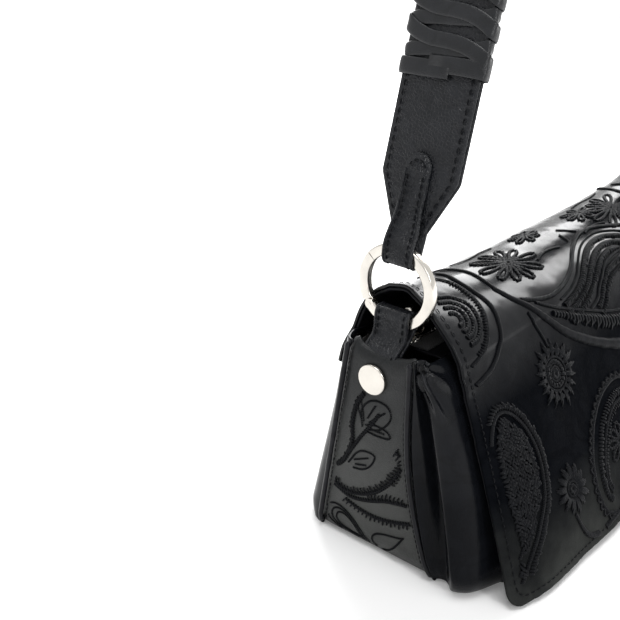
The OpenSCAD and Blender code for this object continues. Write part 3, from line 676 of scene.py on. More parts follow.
@dataclass
class Palette:
    """Every finish of the bag, built once."""

    made: dict[str, bpy.types.Material] = field(default_factory=dict)

    def build(self) -> "Palette":
        """Builds the shared groups and then each material."""
        groups = {"grain": grain_group(), "weave": weave_group(), "wear": wear_group()}
        finishes = (
            Leather(
                "wall_leather", colour=(0.0046, 0.0052, 0.0068), worn=(0.006, 0.0067, 0.0086), rough=(0.16, 0.2),
                grain=0.12, gloss=0.06, shine=(2, 0.045, 0.1, 0.3)
            ),
            # Painted light: pale makes the end panels and the base paler towards the foot, in patches, where more light
            # falls on them.
            Leather(
                "end_leather", colour=(0.006, 0.007, 0.0078), worn=(0.01, 0.0112, 0.0118), rough=(0.32, 0.42),
                grain=0.4, gloss=0.24, pale=(2, 0.095, 0.0, 0.95)
            ),
            # Painted reflection: pale makes the lower front of the flap paler towards the hem, in patches, in place of
            # the floor's reflection.
            Leather(
                "flap_leather", colour=(0.003, 0.0035, 0.0048), worn=(0.0044, 0.005, 0.0064), rough=(0.22, 0.38),
                grain=0.35, gloss=0.003, on_uv=True, pale=(1, 0.14, 0.195, 1.0), shine=(1, 0.1, 0.055, 0.78)
            ),
            Leather(
                "strap_leather", colour=(0.009, 0.01, 0.0125), worn=(0.014, 0.015, 0.018), rough=(0.26, 0.34),
                grain=0.9, cells=650.0, gloss=0.24
            ),
            Leather(
                "lace_leather", colour=(0.007, 0.008, 0.01), worn=(0.011, 0.012, 0.0145), rough=(0.2, 0.28),
                grain=0.25, cells=1500.0, gloss=0.34
            ),
            Leather(
                "inner_leather", colour=(0.007, 0.0072, 0.009), worn=(0.012, 0.0125, 0.015), rough=(0.45, 0.6),
                grain=0.2
            ),
            Leather(
                "edge_leather", colour=(0.007, 0.0072, 0.009), worn=(0.012, 0.0125, 0.015), rough=(0.28, 0.4),
                grain=0.12, gloss=0.14
            ),
            Metal("nickel"),
            Metal("satin_nickel", colour=(0.6, 0.59, 0.57), rough=(0.26, 0.36), lines=0.15),
            Metal("zip_nickel", colour=(0.72, 0.7, 0.66), rough=(0.18, 0.28), lines=0.1),
            Cloth(
                "black_thread", colour=(0.0042, 0.0048, 0.0062), rough=0.45, threads=5200.0, sheen=0.01, bump=0.6,
                gloss=0.07
            ),
            Cloth("pouch_cloth", colour=(0.06, 0.055, 0.052), threads=3600.0),
            Cloth("tape_cloth", colour=(0.02, 0.02, 0.022), threads=4200.0),
            Cloth("board", colour=(0.1, 0.1, 0.1), threads=1200.0, sheen=0.0, bump=0.2),
        )
        self.made = {finish.name: finish.build(groups) for finish in finishes}
        return self

    def __getitem__(self, name: str) -> bpy.types.Material:
        """Material by name."""
        return self.made[name]


# The bag's form, which every sub-assembly shares.


@dataclass(frozen=True)
class Form:
    """Main sizes of the bag in millimetres, and its walls as functions of the height."""

    half: float = 150.0
    wall_h: float = 106.0
    leather: float = 1.8
    fit: float = 0.3
    ring_x: float = 136.0
    ring_z: float = 132.0
    ring_r: float = 20.0
    ring_band: float = 5.0
    ring_t: float = 4.0
    zip_z: float = 103.0
    rivet_y: float = 1.0
    rivet_z: float = 92.0
    rivet_r: float = 7.25

    @property
    def seam_x(self) -> float:
        """Plane in which the walls meet the end panels."""
        return self.half - 1

    def back_y(self, z: Array) -> Array:
        """Rear wall: leans evenly, and tucks in over the last 10 mm with a square curve."""
        return mix(47.0, 21.5, z / self.wall_h) - 5 * np.clip(1 - z / 10, 0, 1) ** 2

    def front_end_y(self, z: Array) -> Array:
        """Front wall at its ends: leans with a power of the height, and tucks in at the foot."""
        return -mix(61.5, 27.0, np.clip(z / self.wall_h, 0, 1.2) ** 1.6) + 2.5 * np.clip(1 - z / 10, 0, 1) ** 2

    def front_y(self, x: Array, z: Array) -> Array:
        """Front wall: its ends plus a bulge that fades with the square of x and of the height."""
        return self.front_end_y(z) - 8 * (1 - (x / self.half) ** 2) * (1 - (z / self.wall_h) ** 2)

    def rear_seam(self, z: Array) -> Array:
        """Rear end seam."""
        return mix(31.0, 14.5, z / self.wall_h)

    def front_seam(self, z: Array) -> Array:
        """Front end seam: upright at the top, curving forward towards the foot."""
        return -19 - 17 * np.clip(1 - z / 78.44, 0, None) ** 2


FORM = Form()


# Sub-assemblies.


@dataclass
class Walls:
    """Outer skin of the bag: front with its bellows folds, back, base, ends and welts."""

    palette: Palette
    rows: int = 110
    foot: float = 0.5
    fold_run: float = 17.0
    corner_r: float = 14.0
    welt_r: float = 1.25
    base_back: float = 38.0
    base_front: float = -55.5

    def fold_knots(self, z: Array) -> Array:
        """Points that the bellows folds pass through at each height, from the end seam to the flat front.

        Each is a share of the depth from seam to front, out by the swell and in by the valley.
        """
        seam = FORM.front_seam(z)
        depth = seam - FORM.front_end_y(z)
        out = 1 + 6 * np.clip(1 - z / FORM.wall_h, 0, None) ** 1.5
        dip = 9 * np.sin(np.pi * np.clip((z - 1) / FORM.wall_h, 0, 1)) ** 0.7
        x = -FORM.seam_x
        pairs = (
            (x + 0 * z, seam),
            (x - 0.6 * out, seam - 0.1 * depth),
            (x - 0.45 * out + 0.25 * dip, seam - 0.21 * depth),
            (x - 0.45 * out + 0.85 * dip, seam - 0.35 * depth),
            (x - 0.65 * out + 0.4 * dip, seam - 0.47 * depth),
            (x - out, seam - 0.64 * depth),
            (x + 1.5 - 0.2 * out, seam - 0.87 * depth),
            (x + self.fold_run + 0 * z, seam - depth),
        )
        knots = np.array([np.stack(pair, -1) for pair in pairs])
        under = np.array([0.3, 0.7, 0.9, 1.0, 1.0, 1.0, 0.7, 0.3])[:, None] * (6.5 * np.clip(1 - z / 15, 0, 1) ** 2)
        return knots + columns(under, 0.6 * under)

    def front_grid(self) -> Array:
        """Front wall: the folds at both ends and the bulging front between, creased by rays from each top corner."""
        z = mix(self.foot, FORM.wall_h, np.linspace(0, 1, self.rows) ** 1.15)
        fold = through(self.fold_knots(z), np.linspace(0, 1, 74))
        fold[..., 1] += FORM.front_y(fold[..., 0], z) - FORM.front_end_y(z)
        x = np.linspace(-FORM.seam_x + self.fold_run, 0, 52)[1:, None] + 0 * z
        flat = columns(x, FORM.front_y(x, z))
        half = np.concatenate([fold, flat])
        half = np.concatenate([half, np.broadcast_to(z, half.shape[:2])[..., None]], -1).transpose(1, 0, 2)
        grid = np.concatenate([half, half[:, -2::-1] * (-1, 1, 1)], 1)
        return grid + grid_normals(grid) * (self.creases(grid) - self.roll(grid))[..., None]

    @staticmethod
    def roll(grid: Array) -> Array:
        """Depth of the rolled top edge: a quarter circle over the last 9 mm, fading out at the seams."""
        t = np.clip((grid[..., 2] - FORM.wall_h + 9) / 9, 0, 1)
        away = ease((FORM.front_seam(grid[..., 2]) - grid[..., 1]) / 5)
        return 4.2 * (1 - np.sqrt(1 - 0.98 * t**2)) * away

    def creases(self, grid: Array) -> Array:
        """Height of the creases: ridges that fan out from the top of each end seam and fade with distance,
        and low soft waves over the rest."""
        run = FORM.seam_x - np.abs(grid[..., 0]) - 0.9 * (grid[..., 1] + 19)
        drop = FORM.wall_h + 4 - grid[..., 2]
        reach = np.hypot(run, drop)
        angle = np.arctan2(run, drop)
        side = np.sign(grid[..., 0])
        wander = noise(columns(reach / 17, side), 5) * 0.14
        rays = np.sin((angle + wander) * 15 + side) + 0.6 * np.sin((angle + wander) * 27 + 2 * side)
        fan = rays * 1.2 * np.exp(-((reach - 13) / 15) ** 2) * ease(reach / 7)
        calm = 0.35 + 0.65 * ease((FORM.seam_x - 20 - np.abs(grid[..., 0])) / 20)
        waves = (noise(grid / (34, 30, 26), 11) * 0.9 + noise(grid / (12, 14, 15), 12) * 0.28) * calm
        held = ease((FORM.wall_h + 3 - grid[..., 2]) / 7) * ease((grid[..., 2] - 1) / 10)
        seam = ease(
            (
                np.abs(
                    grid[..., 1] - FORM.front_seam(grid[..., 2])
                ) + np.clip(FORM.seam_x - np.abs(grid[..., 0]), 0, None)
            ) / 8
        )
        return (fan + waves * 0.8) * held * seam

    def back_grid(self) -> Array:
        """Rear wall: a quarter turn round each corner and a flat back with soft waves."""
        z = mix(self.foot, FORM.wall_h, np.linspace(0, 1, self.rows))
        a = np.radians(np.linspace(0, 90, 26))[:, None]
        corner = columns(
            -FORM.seam_x + self.corner_r * (1 - np.cos(a)) + 0 * z, mix(FORM.rear_seam(z), FORM.back_y(z), np.sin(a)),
            0 * a + z
        )
        x = np.linspace(-FORM.seam_x + self.corner_r, 0, 56)[1:, None] + 0 * z
        half = np.concatenate([corner, columns(x, FORM.back_y(z) + 0 * x, z + 0 * x)]).transpose(1, 0, 2)
        grid = np.concatenate([half, half[:, -2::-1] * (-1, 1, 1)], 1)
        height = noise(grid / (40, 30, 34), 21) * 0.8 + noise(grid / (15, 15, 17), 22) * 0.22
        held = ease((FORM.wall_h - grid[..., 2]) / 12) * ease(grid[..., 2] / 12) * ease(
            (grid[..., 1] - FORM.rear_seam(grid[..., 2])) / 6
        )
        outward = -grid_normals(grid)
        return (grid + outward * (0.6 * np.minimum(height, 0.3) * held)[..., None])[:, ::-1]

    def end_grid(self) -> Array:
        """Left end panel: ruled between its seams, its top edge dipping by a sine, its middle swelling a little."""
        s, t = np.meshgrid(np.linspace(0, 1, 60), np.linspace(0, 1, 90))
        top = FORM.wall_h + 1 - 3.2 * np.sin(
            np.pi * np.clip(1.12 * s - 0.1, 0, 1)
        ) ** 0.8 + 1.4 * np.exp(-((s - 0.07) / 0.06) ** 2)
        z = mix(self.foot, top, t)
        y = mix(FORM.rear_seam(z) - FORM.fit, FORM.front_seam(z) + FORM.fit, s)
        swell = np.sin(np.pi * s) * np.sin(np.pi * np.clip(t, 0, 1)) ** 0.6
        flat = np.clip(np.hypot(y - FORM.rivet_y, z - FORM.rivet_z) - FORM.rivet_r, 0, 8) / 8
        grid = columns(0 * z, y, z)
        height = noise(grid / (9, 18, 22), 31) * 0.4 + noise(grid / (9, 8, 9), 32) * 0.1
        lip = 0.5 * np.exp(-((s * (1 - s) * 4 / 0.16) ** 2))
        roll = 3.4 * (1 - np.sqrt(1 - 0.98 * np.clip(1 - (top - z) / 8, 0, 1) ** 2))
        tuck = 3.5 * np.clip(1 - z / 9, 0, 1) ** 2
        grid[..., 0] = -FORM.half - (0.9 * swell + height * swell) * flat + lip + roll + tuck
        return grid

    def welt(self, seam: Callable[[Array], Array]) -> Patch:
        """One piped edge of the left end panel: a round cord that follows its seam and turns in at the foot."""
        z = np.linspace(1.6, FORM.wall_h + 0.8, 90)
        path = columns(-FORM.half - 1.3 + 3.2 * np.clip(1 - z / 9, 0, 1) ** 2, seam(z), z)
        wobble = 1 + 0.06 * noise(columns(z / 5, 0 * z), 44)
        ends = ease((z - z[0]) / 2 + 0.35) * ease((z[-1] - z) / 2 + 0.35)
        return sweep(path, repeat(X_AXIS, len(path)), circle(self.welt_r, 12), wobble * ends)

    def base(self) -> Patch:
        """Base panel: a rounded rectangle drawn as rings that shrink to a line, closed by a soft edge."""
        turn = np.linspace(0, 2 * np.pi, 160, endpoint=False)
        power = 0.16
        back, front = self.base_back, self.base_front
        x = (FORM.half - 5.5) * np.sign(np.cos(turn)) * np.abs(np.cos(turn)) ** power
        y = (back + front) / 2 + (back - front) / 2 * np.sign(np.sin(turn)) * np.abs(np.sin(turn)) ** power
        shrink = np.array([0.02, 0.35, 0.7, 0.95, 0.985, 1.0, 1.0, 0.985, 0.95, 0.5, 0.02])[:, None]
        z = np.array([0.3, 0.3, 0.3, 0.3, 0.45, 0.8, 1.3, 1.75, 1.9, 1.9, 1.9])[:, None] + 0 * turn
        middle = (back + front) / 2
        points = columns(x * shrink, middle + (y - middle) * shrink, z)
        rows, cols = points.shape[:2]
        return Patch(points.reshape(-1, 3), tube(rows, cols), points[..., :2].reshape(-1, 2) * MM)

    def seam_stitches(self, grid: Array) -> Patch:
        """Stitches along both seams of the end panel, a little inside its edges."""
        parts = []
        for share in (0.04, 0.96):
            line = grid[3:-3, int(share * (grid.shape[1] - 1))] - (0.15, 0, 0)
            parts.append(running(even(line, 2.6), 0.12, -X_AXIS, 0.22))
        return join(parts)

    def build(self) -> None:
        """Makes and places every piece of the outer skin."""
        wall, end = self.palette["wall_leather"], self.palette["end_leather"]
        pieces = {
            "front_skin": (slab(self.front_grid(), FORM.leather), wall, Slot.OUTER, ("front_panel",)),
            "back_skin": (slab(self.back_grid(), FORM.leather), wall, Slot.OUTER, ("back_panel",)),
            "base_skin": (self.base(), end, Slot.OUTER, ("base_panel",)),
        }
        grid = self.end_grid()
        left = slab(grid, FORM.leather)
        welts = join([self.welt(FORM.rear_seam), self.welt(FORM.front_seam)])
        stitches = self.seam_stitches(grid)
        for side, turn in SIDES:
            pieces[f"end_skin_{side}"] = (turn(left), end, Slot.OUTER, (f"end_panel_{side}",))
            pieces[f"end_welts_{side}"] = (turn(welts), self.palette["edge_leather"], Slot.WELT, (f"welts_{side}",))
            pieces[f"end_seam_stitches_{side}"] = (turn(stitches), self.palette["black_thread"], Slot.WELT, ())
        place_all(pieces, Carrier.BAG)


@dataclass
class Pouch:
    """Cloth pouch inside the bag, sewn from a floor, two walls and two ends, each a thin sagging sheet."""

    palette: Palette
    low: float = 4.4
    high: float = 101.0
    end_x: float = FORM.half - 6.4
    cloth: float = 0.7

    def loop_points(self, z: Array, share: Array) -> Array:
        """Points of the front half of the pouch's outline at a height: the end, a cut corner and the long wall."""
        front, seam = FORM.front_end_y(z) + 2.1, FORM.front_seam(z) + 1.8
        middle = mix(seam, front, 0.5)
        knots = np.array([
            columns(-self.end_x + 0 * z, seam),
            columns(-self.end_x + 6 + 0 * z, middle),
            columns(-self.end_x + 19.4 + 0 * z, front + 1),
        ])
        return through(knots, share)

    def wall(self, front: bool) -> Patch:
        """Long wall: follows the leather wall with gathers that run up from the floor."""
        x, z = np.meshgrid(
            np.linspace(20 - self.end_x, self.end_x - 20, 150), mix(self.low + 1, self.high, np.linspace(0, 1, 50))
        )
        if front:
            y = mix(FORM.front_end_y(z) + 2.1, FORM.front_end_y(z) + 3.1, ease((np.abs(x) - 80) / 44))
        else:
            y = FORM.back_y(z) - 2.1
        gather = 0.35 * np.sin(x / 3.1 + noise(columns(x / 20, z / 30), 51) * 3) * ease((self.high - z) / 30)
        inward = 1 if front else -1
        grid = columns(x, y + inward * (0.4 + gather), z)
        return slab(grid if front else grid[:, ::-1], self.cloth)

    def end(self) -> Patch:
        """Left end: the end wall and its two corners as one sheet."""
        z = mix(self.low + 1, self.high, np.linspace(0, 1, 44))
        corner = self.loop_points(z, np.linspace(0, 1, 22))[::-1]
        rear = FORM.rear_seam(z) - 1.8
        side = np.array([
            columns(-self.end_x + 0 * z, mix(FORM.front_seam(z) + 1.8, rear, s)) for s in np.linspace(0, 1, 18)[1:]
        ])
        back = FORM.back_y(z) - 2.1
        turn = np.linspace(0, 1, 14)[1:, None]
        bend = columns(
            mix(-self.end_x, 19.6 - self.end_x, turn**1.6) + 0 * z, mix(rear, back, np.sin(turn * np.pi / 2))
        )
        line = np.concatenate([corner, side, bend])
        grid = np.concatenate([line, np.broadcast_to(z, line.shape[:2])[..., None]], -1).transpose(1, 0, 2)
        return slab(grid[:, ::-1] + grid_normals(grid)[:, ::-1] * 0.3, self.cloth)

    def bottom(self) -> Patch:
        """Floor of the pouch: a flat sheet, a little slack between its seams."""
        x, s = np.meshgrid(np.linspace(0.6 - self.end_x, self.end_x - 0.6, 120), np.linspace(0, 1, 50))
        y = mix(FORM.front_end_y(np.array(4.6)) + 3.2, FORM.back_y(np.array(4.6)) - 3.2, s)
        height = 4.9 - 0.25 * (0.5 + 0.5 * noise(columns(x / 15, y / 15), 55))
        cut = 1 - 0.13 * ease((np.abs(x) - self.end_x + 21.6) / 21)
        return slab(columns(x, (y + 8) * cut - 8, height + 0 * x), 0.6)

    def build(self) -> None:
        """Makes the five panels of the pouch and the board below it."""
        cloth, board = self.palette["pouch_cloth"], self.palette["board"]
        end = self.end()
        pieces = {
            "pouch_front": (self.wall(True), cloth, Slot.CLOTH, ("lining_front",)),
            "pouch_rear": (self.wall(False), cloth, Slot.CLOTH, ("lining_rear",)),
            "pouch_end_left": (end, cloth, Slot.CLOTH, ("lining_end_left",)),
            "pouch_end_right": (mirrored(end), cloth, Slot.CLOTH, ("lining_end_right",)),
            "pouch_floor": (self.bottom(), cloth, Slot.CLOTH, ("lining_floor",)),
            "foot_board": (self.stiffener(), board, Slot.BOARD, ("base_board",)),
        }
        place_all(pieces, Carrier.BAG)

    def stiffener(self) -> Patch:
        """Board under the pouch: a flat sheet with a rounded edge."""
        x, y = np.meshgrid(np.linspace(14 - FORM.half, FORM.half - 14, 60), np.linspace(-46.0, 30.0, 30))
        return slab(columns(x, y, 3.8 + 0 * x), 1.4)


@dataclass
class Zip:
    """Top zip: leather strips, woven tapes, toothed rows, end stops, slider and pull."""

    palette: Palette
    half: float = FORM.half - 20
    row: float = 3.0
    tooth_half: float = FORM.half - 23
    pitch: float = 3.0
    slider_x: float = 30 - FORM.half
    pin_z: float = 108.3
    lean: float = 30.0
    pull: float = 11.0

    def strip(self, low: float, high: float, top: float, thick: float, wave: float) -> Patch:
        """Flat strip between two distances from the ring plane, lifting a little along its free edge."""
        x, s = np.meshgrid(np.linspace(-self.half, self.half, 200), np.linspace(0, 1, 16))
        z = top + wave * noise(columns(x / 16, s * 2), 61) * np.sin(np.pi * s)
        return slab(columns(x, mix(low, high, s), z), thick)

    def tooth_row(self) -> Patch:
        """Row of cast teeth: each has a foot on the tape and a rounded head, and a cord runs behind them."""
        count = int(2 * self.tooth_half / self.pitch)
        at = (np.arange(count) + 0.5 - count / 2) * self.pitch
        profile = round_bar(1.45, 2.4, 0.45, 2)
        depth = np.array([0.0, 0.25, 0.7, 1.1, 1.5])
        swell = np.array([0.62, 1.0, 1.0, 0.8, 0.72])
        path = columns(0 * depth, self.row + depth, 103.3 + 0 * depth)
        one = sweep(path, repeat(-X_AXIS, len(path)), profile, swell)
        teeth = join([Patch(one.points + (x, 0, 0), one.faces, one.uv) for x in at])
        line = columns(
            np.linspace(-self.tooth_half, self.tooth_half, 60), np.full(60, self.row + 1.35), np.full(60, 103.3)
        )
        cord = sweep(line, repeat(Y_AXIS, 60), circle(0.55, 8))
        return join([teeth, cord])

    @staticmethod
    def across(patch: Patch) -> Patch:
        """The same patch on the front side of the zip."""
        return Patch(patch.points * (1, -1, 1), [block[:, ::-1] for block in patch.faces], patch.uv)

    def block(self, x: Sequence[float], width: Sequence[float], z: float, thick: float) -> Patch:
        """Plate whose width changes along X, with round edges."""
        path = columns(np.array(x), 0 * np.array(x), np.full(len(x), z))
        loops = np.stack([round_bar(w, thick, 0.35 * thick, 3) for w in width])
        points = path[:, None] + loops[..., :1] * Y_AXIS + loops[..., 1:] * Z_AXIS
        rows, cols = points.shape[:2]
        return Patch(points.reshape(-1, 3), tube(rows, cols), points[..., :2].reshape(-1, 2) * MM)

    def slider(self) -> Patch:
        """Slider: two plates that taper to the back, the post between, two side lips and the pull's bridge."""
        span = np.linspace(-6, 6, 13)
        x = self.slider_x + span
        width = 9.0 + 2.2 * ease((span + 6) / 7) - 1.6 * ease((np.abs(span) - 4.6) / 1.4)
        middle = FORM.zip_z + 0.3
        top, low = middle + 2.05, middle - 2.05
        post = self.block(self.slider_x + np.linspace(-2, 2, 5), [3.0, 4.2, 4.4, 4.2, 3.0], middle, 3.4)
        lips = []
        t = np.linspace(0, np.pi, 15)
        arch = columns(self.slider_x - 3.4 * np.cos(t), 0 * t, 105.5 + 2.9 * np.sin(t) ** 0.8)
        cheeks = []
        for side in (-1, 1):
            lip = self.block(x[2:-2], np.full(9, 0.8), middle + 1.0, 1.3)
            lip.points[:, 1] += side * 5.0
            lips.append(lip)
            cheek = sweep(arch, repeat(Y_AXIS, 15), round_bar(1.1, 0.9, 0.3, 2))
            cheek.points[:, 1] += side * 2.0
            cheeks.append(cheek)
        pin = lathe(disc_profile(0.8, -2.3, 2.3, 0.3), (self.slider_x, 0, self.pin_z), (0, 1, 0), 20)
        return join([self.block(x, width, top, 1.1), self.block(x, width, low, 1.1), post, *lips, *cheeks, pin])

    def puller(self) -> Patch:
        """Pull: an eye round the pin, a waisted stem and a cut square tip."""
        lean = math.radians(self.lean)
        along = np.array([-math.sin(lean), 0, math.cos(lean)])
        across = np.array([math.cos(lean), 0, math.sin(lean)])
        foot = np.array([self.slider_x, 0, self.pin_z])
        t = np.linspace(0, 2 * np.pi, 25)[:-1]
        ring = foot + 1.45 * (np.cos(t)[:, None] * across + np.sin(t)[:, None] * along)
        eye = sweep(ring, repeat(Y_AXIS, 24), round_bar(1.9, 0.95, 0.35, 2), closed=True)
        stem_at = np.array([2.0, 3.0, 5.0, 7.0, 8.4, 9.2])
        stem = sweep(
            foot + stem_at[:, None] * along, repeat(Y_AXIS, 6), round_bar(1.7, 1.7, 0.8, 3),
            np.array([1.0, 0.9, 0.85, 0.9, 1.1, 1.2])
        )
        tip_at = self.pull + np.array([-2.25, -2.2, -1.1, 1.1, 2.2, 2.25])
        tip = sweep(
            foot + tip_at[:, None] * along, repeat(Y_AXIS, 6), round_bar(4.3, 4.3, 1.2, 1),
            np.array([0.5, 0.56, 1, 1, 0.56, 0.5])
        )
        return join([eye, stem, tip])

    def build(self) -> None:
        """Makes and places every piece of the zip."""
        leather, tape, metal = self.palette["inner_leather"], self.palette["tape_cloth"], self.palette["zip_nickel"]
        front_edge = float(FORM.front_end_y(np.array(FORM.zip_z))) + 2.1
        back_edge = float(FORM.back_y(np.array(FORM.zip_z))) - 2.1
        band = self.strip(4.9, 13.7, 103.55, 0.5, 0.05)
        teeth = self.tooth_row()
        far = self.tooth_half + np.array([0.5, 0.9, 1.9, 2.3])
        stop = [self.block(x, [8.2, 9.0, 9.0, 8.2], 103.3, 2.5) for x in (-far[::-1], far)]
        place_all({
            "zip_strip_leather_front": (
                self.strip(front_edge, -7.0, 102.7, 1.2, 0.1), leather, Slot.OUTER, ("zip_strip_front",)
            ),
            "zip_strip_leather_rear": (
                self.strip(7.0, back_edge, 102.7, 1.2, 0.1), leather, Slot.OUTER, ("zip_strip_rear",)
            ),
            "zip_band_rear": (band, tape, Slot.TAPE, ("zip_tape_rear",)),
            "zip_band_front": (self.across(band), tape, Slot.TAPE, ("zip_tape_front",)),
            "zip_row_rear": (teeth, metal, Slot.ZIP, ("zip_teeth_rear",)),
            "zip_row_front": (self.across(teeth), metal, Slot.ZIP, ("zip_teeth_front",)),
            "zip_stops": (join(stop), metal, Slot.ZIP, ("zip_end_stops",)),
        }, Carrier.BAG)
        bright = self.palette["nickel"]
        place_all({"slider_body": (self.slider(), bright, Slot.BRIGHT, ("zip_slider",))}, Carrier.SLIDER)
        place_all({"puller": (self.puller(), bright, Slot.BRIGHT, ("zip_pull",))}, Carrier.PULL)
        for name in ("slider_body", "puller", "zip_stops"):
            soften(bpy.data.objects[name])


@dataclass
class Fittings:
    """Rings with their gates, ring tabs, rivets, washers and the snap."""

    palette: Palette
    tab_w: float = 18.0
    gate_low: float = 130.0
    gate_high: float = 48.0

    def ring_arc(self, start: float, end: float) -> Patch:
        """Part of a ring between two angles from its top towards the back, with a chamfered section."""
        count = max(6, int(abs(end - start) / 3))
        path, out = self.on_ring(np.radians(np.linspace(start, end, count)))
        return sweep(path, out, round_bar(FORM.ring_band, FORM.ring_t, 0.7, 2))

    @staticmethod
    def on_ring(a: Array) -> tuple[Array, Array]:
        """Points on the middle of the ring's band at angles from its top towards the back, and the ways out there."""
        a = np.asarray(a, float)
        out = columns(0 * a, np.sin(a), np.cos(a))
        return np.array([-FORM.ring_x, 0, FORM.ring_z]) + (FORM.ring_r - FORM.ring_band / 2) * out, out

    def knuckle(self, thick: float, x: float) -> Patch:
        """Round end of the hinge at a distance along the pin."""
        centre = self.on_ring(math.radians(self.gate_low))[0] + x * X_AXIS
        return lathe(disc_profile(2.42, -thick / 2, thick / 2, 0.3), centre, X_AXIS, 36)

    def ring(self) -> Patch:
        """Ring without its gate: the long arc, and two outer cheeks of the hinge."""
        body = self.ring_arc(self.gate_low + 2, 360 + self.gate_high - 0.6)
        return join([body, self.knuckle(1.0, -1.45), self.knuckle(1.0, 1.45)])

    def gate(self) -> Patch:
        """Gate: the short arc, and the middle tongue of the hinge."""
        return join([self.ring_arc(self.gate_high + 0.6, self.gate_low - 9.5), self.knuckle(1.5, 0.0), self.tongue()])

    def tongue(self) -> Patch:
        """Bar between the gate's arc and its hinge, as thick as the tongue."""
        path, out = self.on_ring(np.radians(np.linspace(self.gate_low - 10.5, self.gate_low - 1, 6)))
        return sweep(path, out, round_bar(4.4, 1.5, 0.3, 2))

    def tab_path(self) -> Array:
        """Middle line of the tab seen from the front: up behind the end panel, round the ring's band and back down."""
        ring_x, far, near = -FORM.ring_x, FORM.ring_z - 21.3, FORM.ring_z - 11.2
        plane = -FORM.half + 1.8 + 0.3
        knots = np.array([
            (plane + 0.9, 83.5), (plane + 0.9, 92.0), (plane + 0.9, 100.0), (plane + 1.6, 104.5),
            (ring_x - 5.0, 108.6), (ring_x - 3.6, 111.4),
            (ring_x - 3.2, 115.0), (ring_x - 3.0, 118.6), (ring_x - 1.8, 121.0), (ring_x, near - 0.1),
            (ring_x + 1.8, 121.0),
            (ring_x + 3.0, 118.6), (ring_x + 2.9, 114.4), (ring_x + 1.2, far + 0.4), (ring_x - 2.2, 107.4),
            (plane + 5.0, 103.4),
            (plane + 2.8, 99.0), (plane + 2.7, 92.0), (plane + 2.7, 83.5),
        ])
        return even(through(knots, np.linspace(0, 1, 240)), 0.7)

    def tab(self) -> tuple[Patch, Patch]:
        """Ring tab, a strip folded round the ring, and its stitches along both edges."""
        line = self.tab_path()
        path = columns(line[:, 0], np.zeros(len(line)), line[:, 1])
        strap = sweep(path, repeat(Y_AXIS, len(path)), round_bar(self.tab_w, 1.6, 0.6, 3))
        tangent = unit(np.gradient(path, axis=0))
        out = np.cross(tangent, repeat(-Y_AXIS, len(path)))
        face = path + 0.86 * out * -1
        visible = face[(face[:, 2] > 101) & (np.arange(len(face)) < len(face) * 0.62)]
        at = even(visible, 3.3)
        normal = unit(at[:-1] - (-FORM.ring_x, 0, 116.0))
        parts = []
        for side in (-1, 1):
            parts.append(running(at + (0, side * (self.tab_w / 2 - 2.3), 0), 0.16, normal, 0.4))
        rolled = circle(0.6, 10)
        edge = path - 0.7 * out
        edge = edge[(edge[:, 2] > 98) & (np.arange(len(edge)) < len(edge) * 0.7)]
        edges = [
            sweep(edge + (0, side * (self.tab_w / 2 - 0.7), 0), repeat(Y_AXIS, len(edge)), rolled) for side in (-1, 1)
        ]
        return join([strap, *edges]), join(parts)

    def build(self) -> None:
        """Makes and places both sides."""
        bright, satin = self.palette["nickel"], self.palette["satin_nickel"]
        ring, gate = self.ring(), self.gate()
        hinge = self.on_ring(math.radians(self.gate_low))[0]
        pin = lathe(disc_profile(0.7, -2.05, 2.05, 0.2), hinge, X_AXIS, 24)
        tab, stitches = self.tab()
        rivet = np.array([-FORM.half, FORM.rivet_y, FORM.rivet_z])
        cap = lathe(disc_profile(FORM.rivet_r, 0, 1.5, 0.55, 0.12), rivet - 0.2 * X_AXIS, -X_AXIS, 72)
        post = lathe(disc_profile(2.0, -7.6, 0.1, 0.2), rivet, -X_AXIS, 32)
        washer = lathe(disc_profile(5.0, 0, 0.8, 0.25), rivet + 6.85 * X_AXIS, X_AXIS, 48)
        for side, turn in SIDES:
            rings = {
                f"ring_{side}_body": (turn(ring), f"ring_{side}", (f"ring_{side}",)),
                f"ring_{side}_pin": (turn(pin), f"ring_{side}", (f"gate_pin_{side}",)),
                f"gate_{side}_body": (turn(gate), f"gate_{side}", (f"gate_{side}",)),
            }
            for name, (patch, body, nodes) in rings.items():
                piece = soften(make_piece(name, patch, bright), 50)
                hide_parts(*nodes)
                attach(piece, body)
            place_all({
                f"tab_strip_{side}": (turn(tab), self.palette["strap_leather"], Slot.OUTER, (f"ring_tab_{side}",)),
                f"tab_stitches_{side}": (turn(stitches), self.palette["black_thread"], Slot.OUTER, ()),
                f"rivet_cap_{side}": (turn(join([cap, post])), bright, Slot.BRIGHT, (f"rivet_{side}",)),
                f"rivet_back_{side}": (turn(washer), satin, Slot.SNAP, (f"rivet_washer_{side}",)),
            }, Carrier.BAG)
            soften(bpy.data.objects[f"rivet_cap_{side}"], 50)
        for node in ("snap_socket", "snap_socket_washer", "snap_stud"):
            cad = frame["nodes"][node]
            cad.data.materials.clear()
            cad.data.materials.append(satin)


